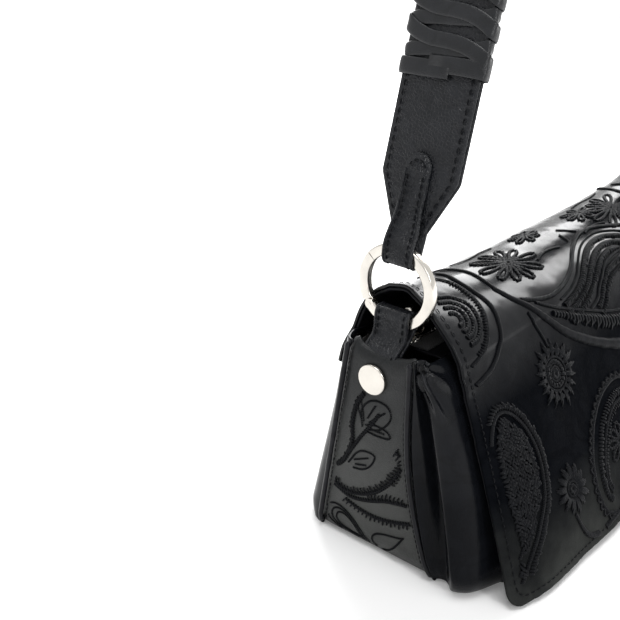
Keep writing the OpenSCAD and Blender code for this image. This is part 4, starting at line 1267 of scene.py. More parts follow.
@dataclass
class Strap:
    """Shoulder strap: two stitched layers, flat laces crossed round them, and the keepers at the rings."""

    palette: Palette
    width: float = 38.8
    rise: float = 282.0
    lean: float = 17.5
    ply: float = 1.7
    half_t: float = 2.55
    point_w: float = 16.0
    point_low: float = 23.3
    point_top: float = 46.0
    lacing_from: float = 86.0
    lace_w: float = 6.6
    lace_pitch: float = 12.8
    keeper_ply: float = 1.7
    keeper_foot: float = 7.9
    keeper_neck: float = 6.6
    keeper_low: float = 30.0
    keeper_top: float = 57.0

    def arch(self, t: Array) -> Array:
        """Middle line over the left half, x and height over the rings: a cubic from the ring to the crown."""
        lean = math.radians(self.lean)
        p0, p3 = np.array([-FORM.ring_x, 0.0]), np.array([0.0, self.rise])
        p1 = p0 + 0.71 * self.rise * np.array([math.sin(lean), math.cos(lean)])
        p2 = p3 - (0.46 * FORM.ring_x, 0)
        t = np.asarray(t, float)[..., None]
        return (1 - t) ** 3 * p0 + 3 * (1 - t) ** 2 * t * p1 + 3 * (1 - t) * t**2 * p2 + t**3 * p3

    def line(self, low: float, pitch: float, high: float | None = None) -> Array:
        """Even points on the arch from a height over the rings to the crown and down again, or up to a height."""
        t = np.linspace(0, 1, 3000)
        half = self.arch(t)
        start = int(np.argmax(half[:, 1] > low))
        if high is not None:
            stop = int(np.argmax(half[:, 1] > high))
            flat = even(half[start:stop], pitch)
        else:
            flat = even(np.concatenate([half[start:], half[start:-1][::-1] * (-1, 1)]), pitch)
        return columns(flat[:, 0], np.zeros(len(flat)), flat[:, 1] + FORM.ring_z)

    def outward(self, path: Array) -> Array:
        """Way out of the arch for points of its middle line."""
        tangent = unit(np.gradient(path, axis=0))
        return np.cross(tangent, repeat(Y_AXIS, len(path)))

    def half_width(self, path: Array) -> Array:
        """Half the strap's width: it narrows in a straight line to each pointed end, with its corner rounded."""
        over = path[:, 2] - FORM.ring_z
        slope = mix(self.point_w / 2, self.width / 2, (over - self.point_low) / (self.point_top - self.point_low))
        return np.minimum(slope, self.width / 2)

    def layer(self, upper: bool) -> Patch:
        """One leather layer: crowned over the padding between its stitched edges."""
        path = self.line(self.point_low + 0.4, 1.4)
        out, half = self.outward(path), self.half_width(path)
        s = np.sin(np.linspace(-np.pi / 2, np.pi / 2, 36))
        s = mix(s, np.linspace(-1, 1, 36), 0.6)
        crown = 0.55 * np.clip(1 - (np.abs(s)) ** 4 / 0.52, 0, 1) - 0.1 * np.exp(-((np.abs(s) - 0.86) / 0.04) ** 2)
        soft = 0.12 * noise(columns(lengths(path)[:, None] / 9 + 0 * s, 3 * s + 0 * half[:, None]), 71)
        offset = self.half_t - 0.45 + crown + soft * (1 - np.abs(s))
        way = 1.0 if upper else -1.0
        grid = path[:, None] + Y_AXIS * (
            s * (half[:, None] - self.ply / 2)
        )[..., None] + out[:, None] * (way * offset)[..., None]
        facing = (grid_normals(grid) * out[:, None]).sum(-1).mean() * way
        return slab(grid if facing > 0 else grid[:, ::-1], self.ply)

    def edge_stitches(self) -> Patch:
        """Stitches along both edges of both faces, from each point up to the lacing."""
        parts = []
        for left in (True, False):
            path = self.line(self.point_low + 3.5, 3.9, self.lacing_from + 2)
            out, half = self.outward(path), self.half_width(path)
            for way in (1, -1):
                for side in (1, -1):
                    at = path + Y_AXIS * (side * (half - 3.0))[:, None] + out * (way * (self.half_t - 0.2))
                    one = running(at, 0.17, way * out[:-1], 0.42)
                    parts.append(one if left else mirrored(one))
        return join(parts)

    def section(self, a: Array, reach: float) -> tuple[Array, Array]:
        """Place round the strap at an angle: a rounded rectangle, from powers of the sine and cosine."""
        c, s = np.cos(a), np.sin(a)
        return (
            self.width / 2 + reach
        ) * np.sign(c) * np.abs(c) ** 0.5, (self.half_t + reach) * np.sign(s) * np.abs(s) ** 0.5

    def lace(self, start: float, end: float, turns: float, phase: float, reach: float, width: float = lace_w) -> Patch:
        """One flat lace wound round the strap: an even climb between two distances along the arch."""
        path = self.line(self.lacing_from, 0.8)
        run = lengths(path)
        out = self.outward(path)
        count = max(72, int(abs(turns) * 64))
        share = np.linspace(0, 1, count)
        a = 2 * np.pi * (share * turns + phase)
        at = mix(start, end, share) + (4.2 * np.cos(a) if turns < 0 else 0) + 0.3 * noise(
            columns(share * abs(turns) * 2, 0 * share + reach), 77
        )
        centre = np.stack([np.interp(at, run, path[:, k]) for k in range(3)], -1)
        away = unit(np.stack([np.interp(at, run, out[:, k]) for k in range(3)], -1))
        along = unit(np.stack([np.interp(at, run, np.gradient(path, axis=0)[:, k]) for k in range(3)], -1))
        across, lift = self.section(a, reach)
        points = centre + Y_AXIS * across[:, None] + away * lift[:, None]
        turn = np.linspace(0, 2 * np.pi, 20, endpoint=False)
        crowned = columns(width / 2 * np.sign(np.cos(turn)) * np.abs(np.cos(turn)) ** 0.7, 0.62 * np.sin(turn))
        return sweep(points, along, crowned)

    def laces(self) -> tuple[Patch, Patch]:
        """Lacing: two laces that climb in opposite ways and cross on both faces, and a band round each end."""
        total = lengths(self.line(self.lacing_from, 0.8))[-1]
        first = 4.0
        turns = round((total - 2 * first - 8) / self.lace_pitch)
        bands = [
            self.lace(first + 1.0, first - 1.0, 1.02, 0.24, 1.55, 7.4),
            self.lace(total - first - 1.0, total - first + 1.0, 1.02, 0.24, 1.55, 7.4),
        ]
        low = self.lace(first + 5, total - first - 5, turns, 0.05, 0.62)
        high = self.lace(first + 7, total - first - 7, -turns, 0.55, 1.5)
        return low, join([high, *bands])

    def keeper_width(self, over: Array) -> Array:
        """Half the keeper's width at a height over the ring: wide at the ring, narrower above the strap's point."""
        return mix(self.keeper_foot, self.keeper_neck, ease((over - self.point_low) / 11))

    def keeper(self) -> tuple[Patch, Patch]:
        """Keeper: a strip round the ring, its legs lying on the strap and ending in a half round, and its stitches."""
        foot = np.array([-FORM.ring_x, FORM.ring_z])
        leg = self.line(self.keeper_low, 0.8, self.keeper_top)
        way = self.outward(leg)
        thick = self.half_t + 0.95
        outer, inner = (leg + way * thick)[:, [0, 2]], (leg - way * thick)[:, [0, 2]]
        start, seat = outer[10] - foot, np.array([-2.95, 17.6])
        bow = np.array([(0.5, 0), (0.3, 0), (-0.35, 0)])
        inwards = mix(start, seat, np.array([0.3, 0.62, 0.88])[:, None]) + bow
        round_ring = foot + np.array([
            *inwards, (-2.95, 15.0), (-2.5, 12.5), (-1.0, 11.1), (0.9, 10.9), (2.7, 11.7), (3.5, 13.8), (4.2, 17.0),
            (6.0, 21.0), (8.2, 25.0)
        ])
        knots = np.concatenate([outer[10:][::-1][::8], round_ring, inner[::8]])
        flat = even(through(knots, np.linspace(0, 1, 500)), 0.7)
        path = columns(flat[:, 0], np.zeros(len(flat)), flat[:, 1])
        over = path[:, 2] - FORM.ring_z
        tip = leg[-1, 2] - FORM.ring_z - over
        neck = self.keeper_neck
        round_end = np.sqrt(np.clip(neck**2 - (neck - tip) ** 2, 0.02, None))
        half = np.where(tip < neck, round_end, self.keeper_width(over))
        path[:, 1] -= 1.5 * (1 - ease((over - 16) / 26))
        side = repeat(Y_AXIS, len(path))
        out = -unit(np.cross(np.gradient(path, axis=0), side))
        profile = round_bar(1.0, 1.0, 0.5, 3)
        ends = np.sign(profile[:, 0])
        reach = (profile[:, 0] - 0.5 * ends)[None] * self.keeper_ply + ends[None] * half[:, None]
        points = path[:, None] + side[:, None] * reach[..., None]
        points = points - out[:, None] * (profile[:, 1] * self.keeper_ply)[None, :, None]
        rows, cols = points.shape[:2]
        uv = np.stack(np.meshgrid(np.arange(cols) * 1.0, lengths(path)), -1).reshape(-1, 2) * MM
        strip = Patch(points.reshape(-1, 3), tube(rows, cols), uv)
        rolled = circle(0.62, 10)
        low = tip > neck
        edges, sewn = [], []
        for sign in (1, -1):
            edge = (path + side * (sign * (half - 0.75))[:, None] + out * 0.5)[low]
            edges.append(sweep(edge, side[low], rolled))
            line = (path + side * (sign * (half - 2.6))[:, None] + out * 0.84)[low]
            pick = np.searchsorted(lengths(line), np.arange(1.5, lengths(line)[-1] - 1, 3.3))
            sewn.append(running(line[pick], 0.16, out[low][pick][:-1], 0.4))
        return join([strip, *edges]), join([*sewn, self.keeper_stitches(leg, way)])

    def keeper_stitches(self, leg: Array, way: Array) -> Patch:
        """Stitches of the keeper on both faces, round its end and once across its neck."""
        parts = []
        for face in (1, -1):
            lie = leg + way * face * (self.half_t + 1.8)
            over = lie[:, 2] - FORM.ring_z
            along = unit(lie[-1] - lie[0])
            lines = []
            arc = np.radians(np.linspace(8, 172, 30))[:, None]
            top = lie[np.argmin(np.abs(over - 50.4))]
            lines.append(top + np.cos(arc) * np.array((0, 4.3, 0)) + np.sin(arc) * along * 4.2)
            level = lie[np.argmin(np.abs(over - 31.0))]
            lines.append(level + Y_AXIS * np.linspace(-5.2, 5.2, 20)[:, None])
            parts += [running(even(line, 3.0), 0.15, way[10] * face, 0.36) for line in lines]
        return join(parts)

    def build(self) -> None:
        """Makes and places every piece of the strap."""
        leather, thread = self.palette["strap_leather"], self.palette["black_thread"]
        keeper, stitches = self.keeper()
        low, high = self.laces()
        pieces = {
            "strap_face": (self.layer(True), leather, Slot.OUTER, ("strap_outer", "strap_core")),
            "strap_underside": (self.layer(False), leather, Slot.INNER, ("strap_backing",)),
            "strap_edge_stitches": (self.edge_stitches(), thread, Slot.OUTER, ()),
            "strap_lace_under": (low, self.palette["lace_leather"], Slot.LACE, ("strap_lacing",)),
            "strap_lace_over": (high, self.palette["lace_leather"], Slot.LACE, ()),
        }
        for side, turn in SIDES:
            pieces[f"keeper_strip_{side}"] = (turn(keeper), leather, Slot.OUTER, (f"keeper_{side}",))
            pieces[f"keeper_stitches_{side}"] = (turn(stitches), thread, Slot.OUTER, ())
        place_all(pieces, Carrier.STRAP)


@dataclass
class Flap:
    """Flap: sewn to the back, over the crest and down the front, as an outer leather and a lining.

    A place on it is a distance from the middle plane and a distance from the hinge line, both along the leather.
    """

    palette: Palette
    strip: float = 19.0
    extra: float = 5.5
    hem_rise: float = 3.6
    seam: float = 34.0
    corner_r: float = 6.0
    hinge_z: float = 107.0
    bend_y: float = -35.0
    bend_z: float = 104.0
    crest_y: float = -2.0
    crest_middle: float = 123.4
    crest_ends: float = 132.0
    hem_z: float = 7.0
    belly: tuple[float, float] = (-70.92, 38.0)
    hem_middle: float = -82.5
    hem_ends: float = -72.5
    rear_rows: int = 44
    run: Array = field(init=False)
    middle: Array = field(init=False)
    ends: Array = field(init=False)

    def __post_init__(self) -> None:
        """Draws the flap's section at its middle and at its ends."""
        t = np.linspace(0, 1, 400)
        root = np.array([FORM.back_y(np.array(self.hinge_z)) + FORM.fit + FORM.leather, self.hinge_z])
        low = np.linspace(self.hinge_z - self.strip, self.hinge_z, 60)[:-1]
        strip = columns(FORM.back_y(low) + FORM.fit + FORM.leather, low)
        share = (self.bend_z - self.belly[1]) / (self.bend_z - self.hem_z)
        knots = np.array([(self.bend_y, self.bend_z), self.belly, (self.hem_middle, self.hem_z)])
        drop = through(knots, np.where(t < share, t / share / 2, 0.5 + (t - share) / (1 - share) / 2))
        end_drop = columns(mix(self.bend_y, self.hem_ends, t**0.95), mix(self.bend_z, self.hem_z, t))
        self.middle = np.concatenate([strip, self.hump(t, root, self.crest_middle, 1.5), drop[1:]])
        self.ends = np.concatenate([strip, self.hump(t, root, self.crest_ends, 1.25), end_drop[1:]])
        for name in ("middle", "ends"):
            line = getattr(self, name)
            setattr(self, name, np.concatenate([line, line[-1:] + self.extra * unit(line[-1:] - line[-9:-8])]))
        run = lengths(self.middle)
        self.run = run - run[len(strip)]

    def hump(self, t: Array, root: Array, crest: float, power: float) -> Array:
        """Section over the top: a quarter ellipse up from the hinge line, a fuller quarter down to the front bend."""
        rise = 0.4
        a = np.pi / 2 * np.clip(t / rise, 0, 1)
        b = np.pi / 2 * np.clip((t - rise) / (1 - rise), 0, 1)
        rear = columns(mix(self.crest_y, root[0], np.cos(a)), mix(root[1], crest, np.sin(a)))
        fore = columns(
            mix(self.crest_y, self.bend_y, np.sin(b) ** (2 / power)), mix(self.bend_z, crest, np.cos(b) ** (2 / power))
        )
        return np.where((t < rise)[:, None], rear, fore)

    def half_width(self, v: Array) -> Array:
        """Distance from the middle plane to the side edge: it widens towards the hem."""
        z = np.where(v < 0, self.hinge_z, np.interp(v, self.run, self.ends[:, 1]))
        return FORM.half - 19 + 13 * np.clip(1 - z / self.crest_ends, 0, None) ** 0.8 + 5 * ease((8 - v) / 22)

    def sheet(self, u: Array, v: Array) -> Array:
        """Point of the flat-lying flap: the middle section, blending to the end section close to each side edge."""
        m = np.stack([np.interp(v, self.run, self.middle[:, k]) for k in (0, 1)], -1)
        e = np.stack([np.interp(v, self.run, self.ends[:, k]) for k in (0, 1)], -1)
        inside = np.clip(self.half_width(v) - np.abs(u), 0, None)
        yz = mix(e, m, (1 - np.exp(-inside / 22))[..., None])
        flare = 1.5 * np.exp(-inside / 7) * ease((4 - v) / 16)
        return np.concatenate([np.asarray(u, float)[..., None], yz + columns(flare, 0 * flare)], -1)

    def waves(self, u: Array, v: Array) -> Array:
        """Height of the leather's unevenness: long soft swells, short ripples and puckers along the stitched edge."""
        inside = np.clip(self.half_width(v) - np.abs(u), 0, None)
        below = np.clip(self.run[-1] - v, 0, None)
        edge = np.exp(-(np.minimum(inside, below) / 5.5) ** 2)
        along = np.where(inside < below, v, u)
        swell = 0.75 * noise(columns(u / 31, v / 27), 81) + 0.28 * noise(columns(u / 12, v / 11), 82)
        swell = swell + 0.07 * noise(columns(u / 4.6, v / 4.2), 84)
        pucker = 0.22 * noise(columns(along / 3.4, np.sign(u) + 0 * v), 83) * edge
        calm = 0.3 + 0.7 * ease((inside - 3) / 16) * ease((inside + v - 30) / 30)
        return (swell * calm + pucker) * ease((v - 2) / 14)

    def lift(self, u: Array, v: Array, height: Array) -> tuple[Array, Array]:
        """Point at a height over the outer leather, and the way out of the leather there."""
        across = self.sheet(u + 0.3, v) - self.sheet(u - 0.3, v)
        along = self.sheet(u, v + 0.3) - self.sheet(u, v - 0.3)
        out = unit(np.cross(along, across))
        return self.sheet(u, v) + out * (self.waves(u, v) + height)[..., None], out

    def places(self, inset: float = 0.0) -> tuple[Array, Array]:
        """Grid of places, from the end of the hinge strip to the hem, with both hem corners rounded."""
        share = np.linspace(-1, 1, 261)
        share = np.sign(share) * (1 - (1 - np.abs(share)) ** 1.35)
        down = mix(-self.strip, self.seam, np.linspace(0, 1, self.rear_rows))
        front = np.linspace(0, 1, 150) ** 0.97
        bottom = self.run[-1] - inset
        edge = self.half_width(bottom) - inset
        beyond = np.clip(np.abs(share) * edge - (edge - self.corner_r), 0, self.corner_r)
        end = bottom - self.corner_r + np.sqrt(np.maximum(self.corner_r**2 - beyond**2, 0))
        end = end - self.hem_rise * (1 - np.exp(-(1 - np.abs(share)) * edge / 34))
        v = np.concatenate([down[:-1, None] + 0 * share, mix(self.seam, end, front[:, None])])
        return share[::-1] * (self.half_width(v) - inset), v[:, ::-1]

    def halves(self, inset: float, depth: float, thickness: float) -> tuple[Patch, Patch]:
        """Rear and front part of one leather, which meet on the crest in a flat cut."""
        u, v = self.places(inset)
        points, out = self.lift(u, v, 0 * u - depth)
        uv = columns(u, v) * MM
        rear, fore = slice(0, self.rear_rows), slice(self.rear_rows - 1, None)
        return (
            slab(points[rear], thickness, 6, uv[rear], out[rear], "last"),
            slab(points[fore], thickness, 6, uv[fore], out[fore], "first"),
        )

    def sew(self, line: Array, pitch: float, radius: float) -> tuple[Patch | None, Patch | None]:
        """Running stitches along a line of places, shared out between the rear and the front part."""
        at = even(line, pitch)
        run = np.diff(at, axis=0)
        return self.lay(at[:-1] + 0.14 * run, at[1:] - 0.14 * run, np.full(len(run), radius))

    def lay(self, start: Array, end: Array, radius: Array) -> tuple[Patch | None, Patch | None]:
        """Threads from places to places, a little over the leather, on the rear part and on the front part."""
        height = 0.16
        parts = []
        middle = (start[:, 1] + end[:, 1]) / 2
        for mask in (middle < self.seam, middle >= self.seam):
            if not mask.any():
                parts.append(None)
                continue
            a, out = self.lift(start[mask, 0], start[mask, 1], np.full(mask.sum(), height))
            b, _ = self.lift(end[mask, 0], end[mask, 1], np.full(mask.sum(), height))
            parts.append(threads(a, b, out, radius[mask]))
        return parts[0], parts[1]

    def edge_line(self, inset: float) -> Array:
        """Line of places round both sides and the hem, a fixed distance inside the edge."""
        u, v = self.places(inset)
        place = columns(u, v)
        return np.concatenate([place[:, 0], place[-1, 1:], place[-2::-1, -1]])

    def bend(
        self, name: str, patch: Patch, material: bpy.types.Material, slot: Slot, rear: bool, nodes: Sequence[str] = ()
    ) -> None:
        """Makes a piece of the flap, keeps its sharp edges crisp and hides the nodes that it stands for; the rear and
        the front part both stay where they are built.
        """
        piece = soften(make_piece(name, patch, material), 60)
        if nodes:
            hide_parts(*nodes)
        if rear:
            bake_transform(piece)
        else:
            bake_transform(piece)

    def build(self) -> None:
        """Makes and places the leathers and their seams."""
        leather, inner, thread = (self.palette[k] for k in ("flap_leather", "inner_leather", "black_thread"))
        rear, fore = self.halves(0.0, 0.0, 1.8)
        self.bend("flap_rear", rear, leather, Slot.OUTER, True, ("flap_root", "flap_top"))
        self.bend("flap_fore", fore, leather, Slot.OUTER, False, ("flap_front",))
        rear, fore = self.halves(0.35, 2.0, 1.3)
        self.bend("flap_inside_rear", rear, inner, Slot.INNER, True, ("flap_top_lining",))
        self.bend("flap_inside_fore", fore, inner, Slot.INNER, False, ("flap_front_lining",))
        lines = [self.edge_line(3.2)]
        for height in (-15.5, -3.5):
            lines.append(columns(np.linspace(23 - FORM.half, FORM.half - 23, 60), np.full(60, height)))
        sewn = [self.sew(line, 3.3, 0.3) for line in lines]
        self.bend("flap_seam_rear", join([a for a, _ in sewn if a]), thread, Slot.OUTER, True)
        self.bend("flap_seam_fore", join([b for _, b in sewn if b]), thread, Slot.OUTER, False)


class Needle:
    """Collects embroidery as flat stitches: a start, an end and a thread radius each, in one pair of distances."""

    def __init__(self) -> None:
        """Starts with no stitches."""
        self.rows: list[Array] = []

    def add(self, start: Array, end: Array, radius: float | Array) -> None:
        """Adds stitches from starts to ends."""
        size = 1.15 * np.broadcast_to(np.asarray(radius, float), (len(start),))[:, None]
        self.rows.append(np.concatenate([start, end, size], 1))

    def all(self) -> Array:
        """All stitches, one per row: start, end, radius."""
        return np.concatenate(self.rows)

    @staticmethod
    def frame(line: Array, pitch: float) -> tuple[Array, Array, Array]:
        """Even points on a line with the ways along and across it."""
        at = even(line, pitch)
        along = unit(np.gradient(at, axis=0))
        return at, along, quarter(along)

    def rope(self, line: Array, width: float = 1.9, pitch: float = 0.95, radius: float = 0.42) -> None:
        """Twisted cord: short stitches laid at a slant right across the line, each close to the next."""
        at, along, across = self.frame(line, pitch)
        reach = 0.5 * width * (0.82 * across + 0.57 * along)
        self.add(at - reach, at + reach, radius)

    def satin(
        self, line: Array, width: float | Array, pitch: float = 0.72, radius: float = 0.42, slant: float = 0.15
    ) -> None:
        """Satin band: threads straight across the line, side by side, as long as the band is wide there."""
        at, along, across = self.frame(line, pitch)
        wide = np.interp(np.linspace(0, 1, len(at)), np.linspace(0, 1, np.size(width)), np.atleast_1d(width))
        ragged = 1 + 0.1 * noise(columns(np.arange(len(at)) * 0.9, np.zeros(len(at))), 91)
        reach = 0.5 * (wide * ragged)[:, None] * (across + slant * along)
        self.add(at - reach, at + reach, radius)

    def comb(
        self, line: Array, length: float | Array, pitch: float = 2.1, radius: float = 0.5, slant: float = 0.3
    ) -> None:
        """Comb: teeth that stand off one side of the line, leaning a little along it."""
        at, along, across = self.frame(line, pitch)
        tall = np.interp(np.linspace(0, 1, len(at)), np.linspace(0, 1, np.size(length)), np.atleast_1d(length))
        uneven = 1 + 0.22 * noise(columns(np.arange(len(at)) * 1.7, np.ones(len(at))), 92)
        self.add(at, at + (tall * uneven)[:, None] * (across + slant * along), radius)

    def zigzag(self, line: Array, width: float = 2.2, pitch: float = 0.8, radius: float = 0.38) -> None:
        """Dense zigzag: each stitch runs from one side of the line to the other."""
        at, _, across = self.frame(line, pitch)
        side = np.where(np.arange(len(at)) % 2 == 0, 0.5, -0.5)[:, None] * width
        ends = at + across * side
        self.add(ends[:-1], ends[1:], radius)

    def scallops(self, line: Array, bulge: float, wave: float, width: float = 1.7) -> None:
        """Cord that follows the line in a row of arches: the bulge times the size of the sine of the distance."""
        at, _, across = self.frame(line, 0.5)
        self.rope(at + across * (bulge * np.abs(np.sin(np.pi * lengths(at) / wave)))[:, None], width)

    def flower(
        self, centre: Sequence[float], inner: float, outer: float, count: int, fat: int = 3, squash: float = 1.0,
        turn: float = 0.0
    ) -> None:
        """Daisy: petals of several threads side by side, set round a ring of cord."""
        a = 2 * np.pi * (np.arange(count) + turn) / count
        reach = outer * (1 + 0.12 * noise(columns(a * 2.1, a * 0 + outer), 93))
        way = columns(np.cos(a), np.sin(a) * squash)
        across = columns(-np.sin(a), np.cos(a) * squash)
        for k in range(fat):
            off = (k - (fat - 1) / 2) * 0.8
            bow = 1 - 0.12 * abs(k - (fat - 1) / 2)
            self.add(
                centre + way * inner + across * off * 0.7, centre + way * (reach * bow)[:, None] + across * off, 0.5
            )
        t = np.linspace(0, 2 * np.pi, 60)
        if inner > 2:
            self.rope(centre + inner * 0.82 * columns(np.cos(t), np.sin(t) * squash), 1.6)

    def loops(
        self, centre: Sequence[float], inner: float, outer: float, count: int, width: float, squash: float,
        turn: float = 0.0
    ) -> None:
        """Flower of looped petals: each is a slim drop drawn with a thin cord, of uneven length."""
        for k in range(count):
            a = 2 * math.pi * (k + turn) / count
            reach = outer * (1 + 0.14 * math.sin(5.1 * k + outer))
            petal = teardrop(((inner + reach) / 2, 0.0), reach - inner, width, 180.0, 0.0, 60)
            turned = petal @ np.array([(math.cos(a), math.sin(a)), (-math.sin(a), math.cos(a))])
            self.zigzag(turned * (1, squash) + centre, 1.8, 0.95, 0.5)

    def fill(self, line: Array, inset: float, pitch: float = 2.0, length: float = 3.2, radius: float = 0.5) -> None:
        """Dense feathering inside a closed line: uneven slanted stitches, kept where the line encloses them."""
        low, high = line.min(0) + inset, line.max(0) - inset
        u, v = np.meshgrid(np.arange(low[0], high[0], pitch), np.arange(low[1], high[1], 1.15))
        spot = columns(u + 0.5 * pitch * (np.round(v / 1.15) % 2), v).reshape(-1, 2)
        a, b = line, np.roll(line, -1, 0)
        over = (a[:, 1] > spot[:, None, 1]) != (b[:, 1] > spot[:, None, 1])
        rise = np.where(np.abs(b[:, 1] - a[:, 1]) < 1e-9, 1e-9, b[:, 1] - a[:, 1])
        cross = a[:, 0] + (spot[:, None, 1] - a[:, 1]) / rise * (b[:, 0] - a[:, 0])
        spot = spot[(over & (spot[:, None, 0] < cross)).sum(1) % 2 == 1]
        tilt = 0.7 + 1.3 * noise(spot / 2.7, 96)
        spot = spot + 0.7 * columns(noise(spot / 2.1, 97), noise(spot / 2.3, 98))
        way = columns(np.cos(tilt), np.sin(tilt) * np.where(np.round(spot[:, 0] / pitch) % 2 == 0, 1, -1))
        self.add(spot - way * length / 2, spot + way * length / 2, radius)

    def mirror(self) -> "Needle":
        """The same stitches on the other side of the middle."""
        other = Needle()
        other.rows = [row * (-1, 1, -1, 1, 1) for row in self.rows]
        return other


def teardrop(
    centre: Sequence[float], length: float, width: float, angle: float, curl: float = 0.0, count: int = 160
) -> Array:
    """Drop outline: the cosine along it, the sine times a power of the half angle's across, its tip bent by a square.

    Args:
        centre: middle of the drop.
        length: from the round end to the tip.
        width: across the round end.
        angle: way that the tip points, in degrees.
        curl: how far the tip bends to one side.
        count: number of points.

    Returns:
        Closed line that starts and ends at the tip.
    """
    t = np.linspace(0, 2 * np.pi, count)
    x, y = np.cos(t), np.sin(t) * np.sin(t / 2) ** 1.4
    y = y * width / 1.35 + curl * np.clip(x + 0.6, 0, None) ** 2
    x = x * length / 2
    a = math.radians(angle)
    return columns(x * math.cos(a) - y * math.sin(a), x * math.sin(a) + y * math.cos(a)) + centre


def quarter(along: Array) -> Array:
    """Flat vectors turned a quarter counter-clockwise."""
    return columns(-along[:, 1], along[:, 0])


def winding(line: Array) -> float:
    """1 where a closed line turns counter-clockwise, -1 where it turns clockwise."""
    return float(np.sign(np.sum(line[:, 0] * np.roll(line[:, 1], -1) - np.roll(line[:, 0], -1) * line[:, 1])))


def shrink(line: Array, inset: float) -> Array:
    """Closed line moved in by a distance, along its own ways across."""
    return line + quarter(unit(np.roll(line, -1, 0) - np.roll(line, 1, 0))) * inset * winding(line)


def across(line: Array) -> Array:
    """Way across a line, to the side that a comb's teeth stand on."""
    return quarter(unit(np.gradient(line, axis=0)))


def curve(knots: Sequence[tuple[float, float]], count: int = 200) -> Array:
    """Smooth flat curve through knots."""
    return through(np.array(knots, float), np.linspace(0, 1, count))


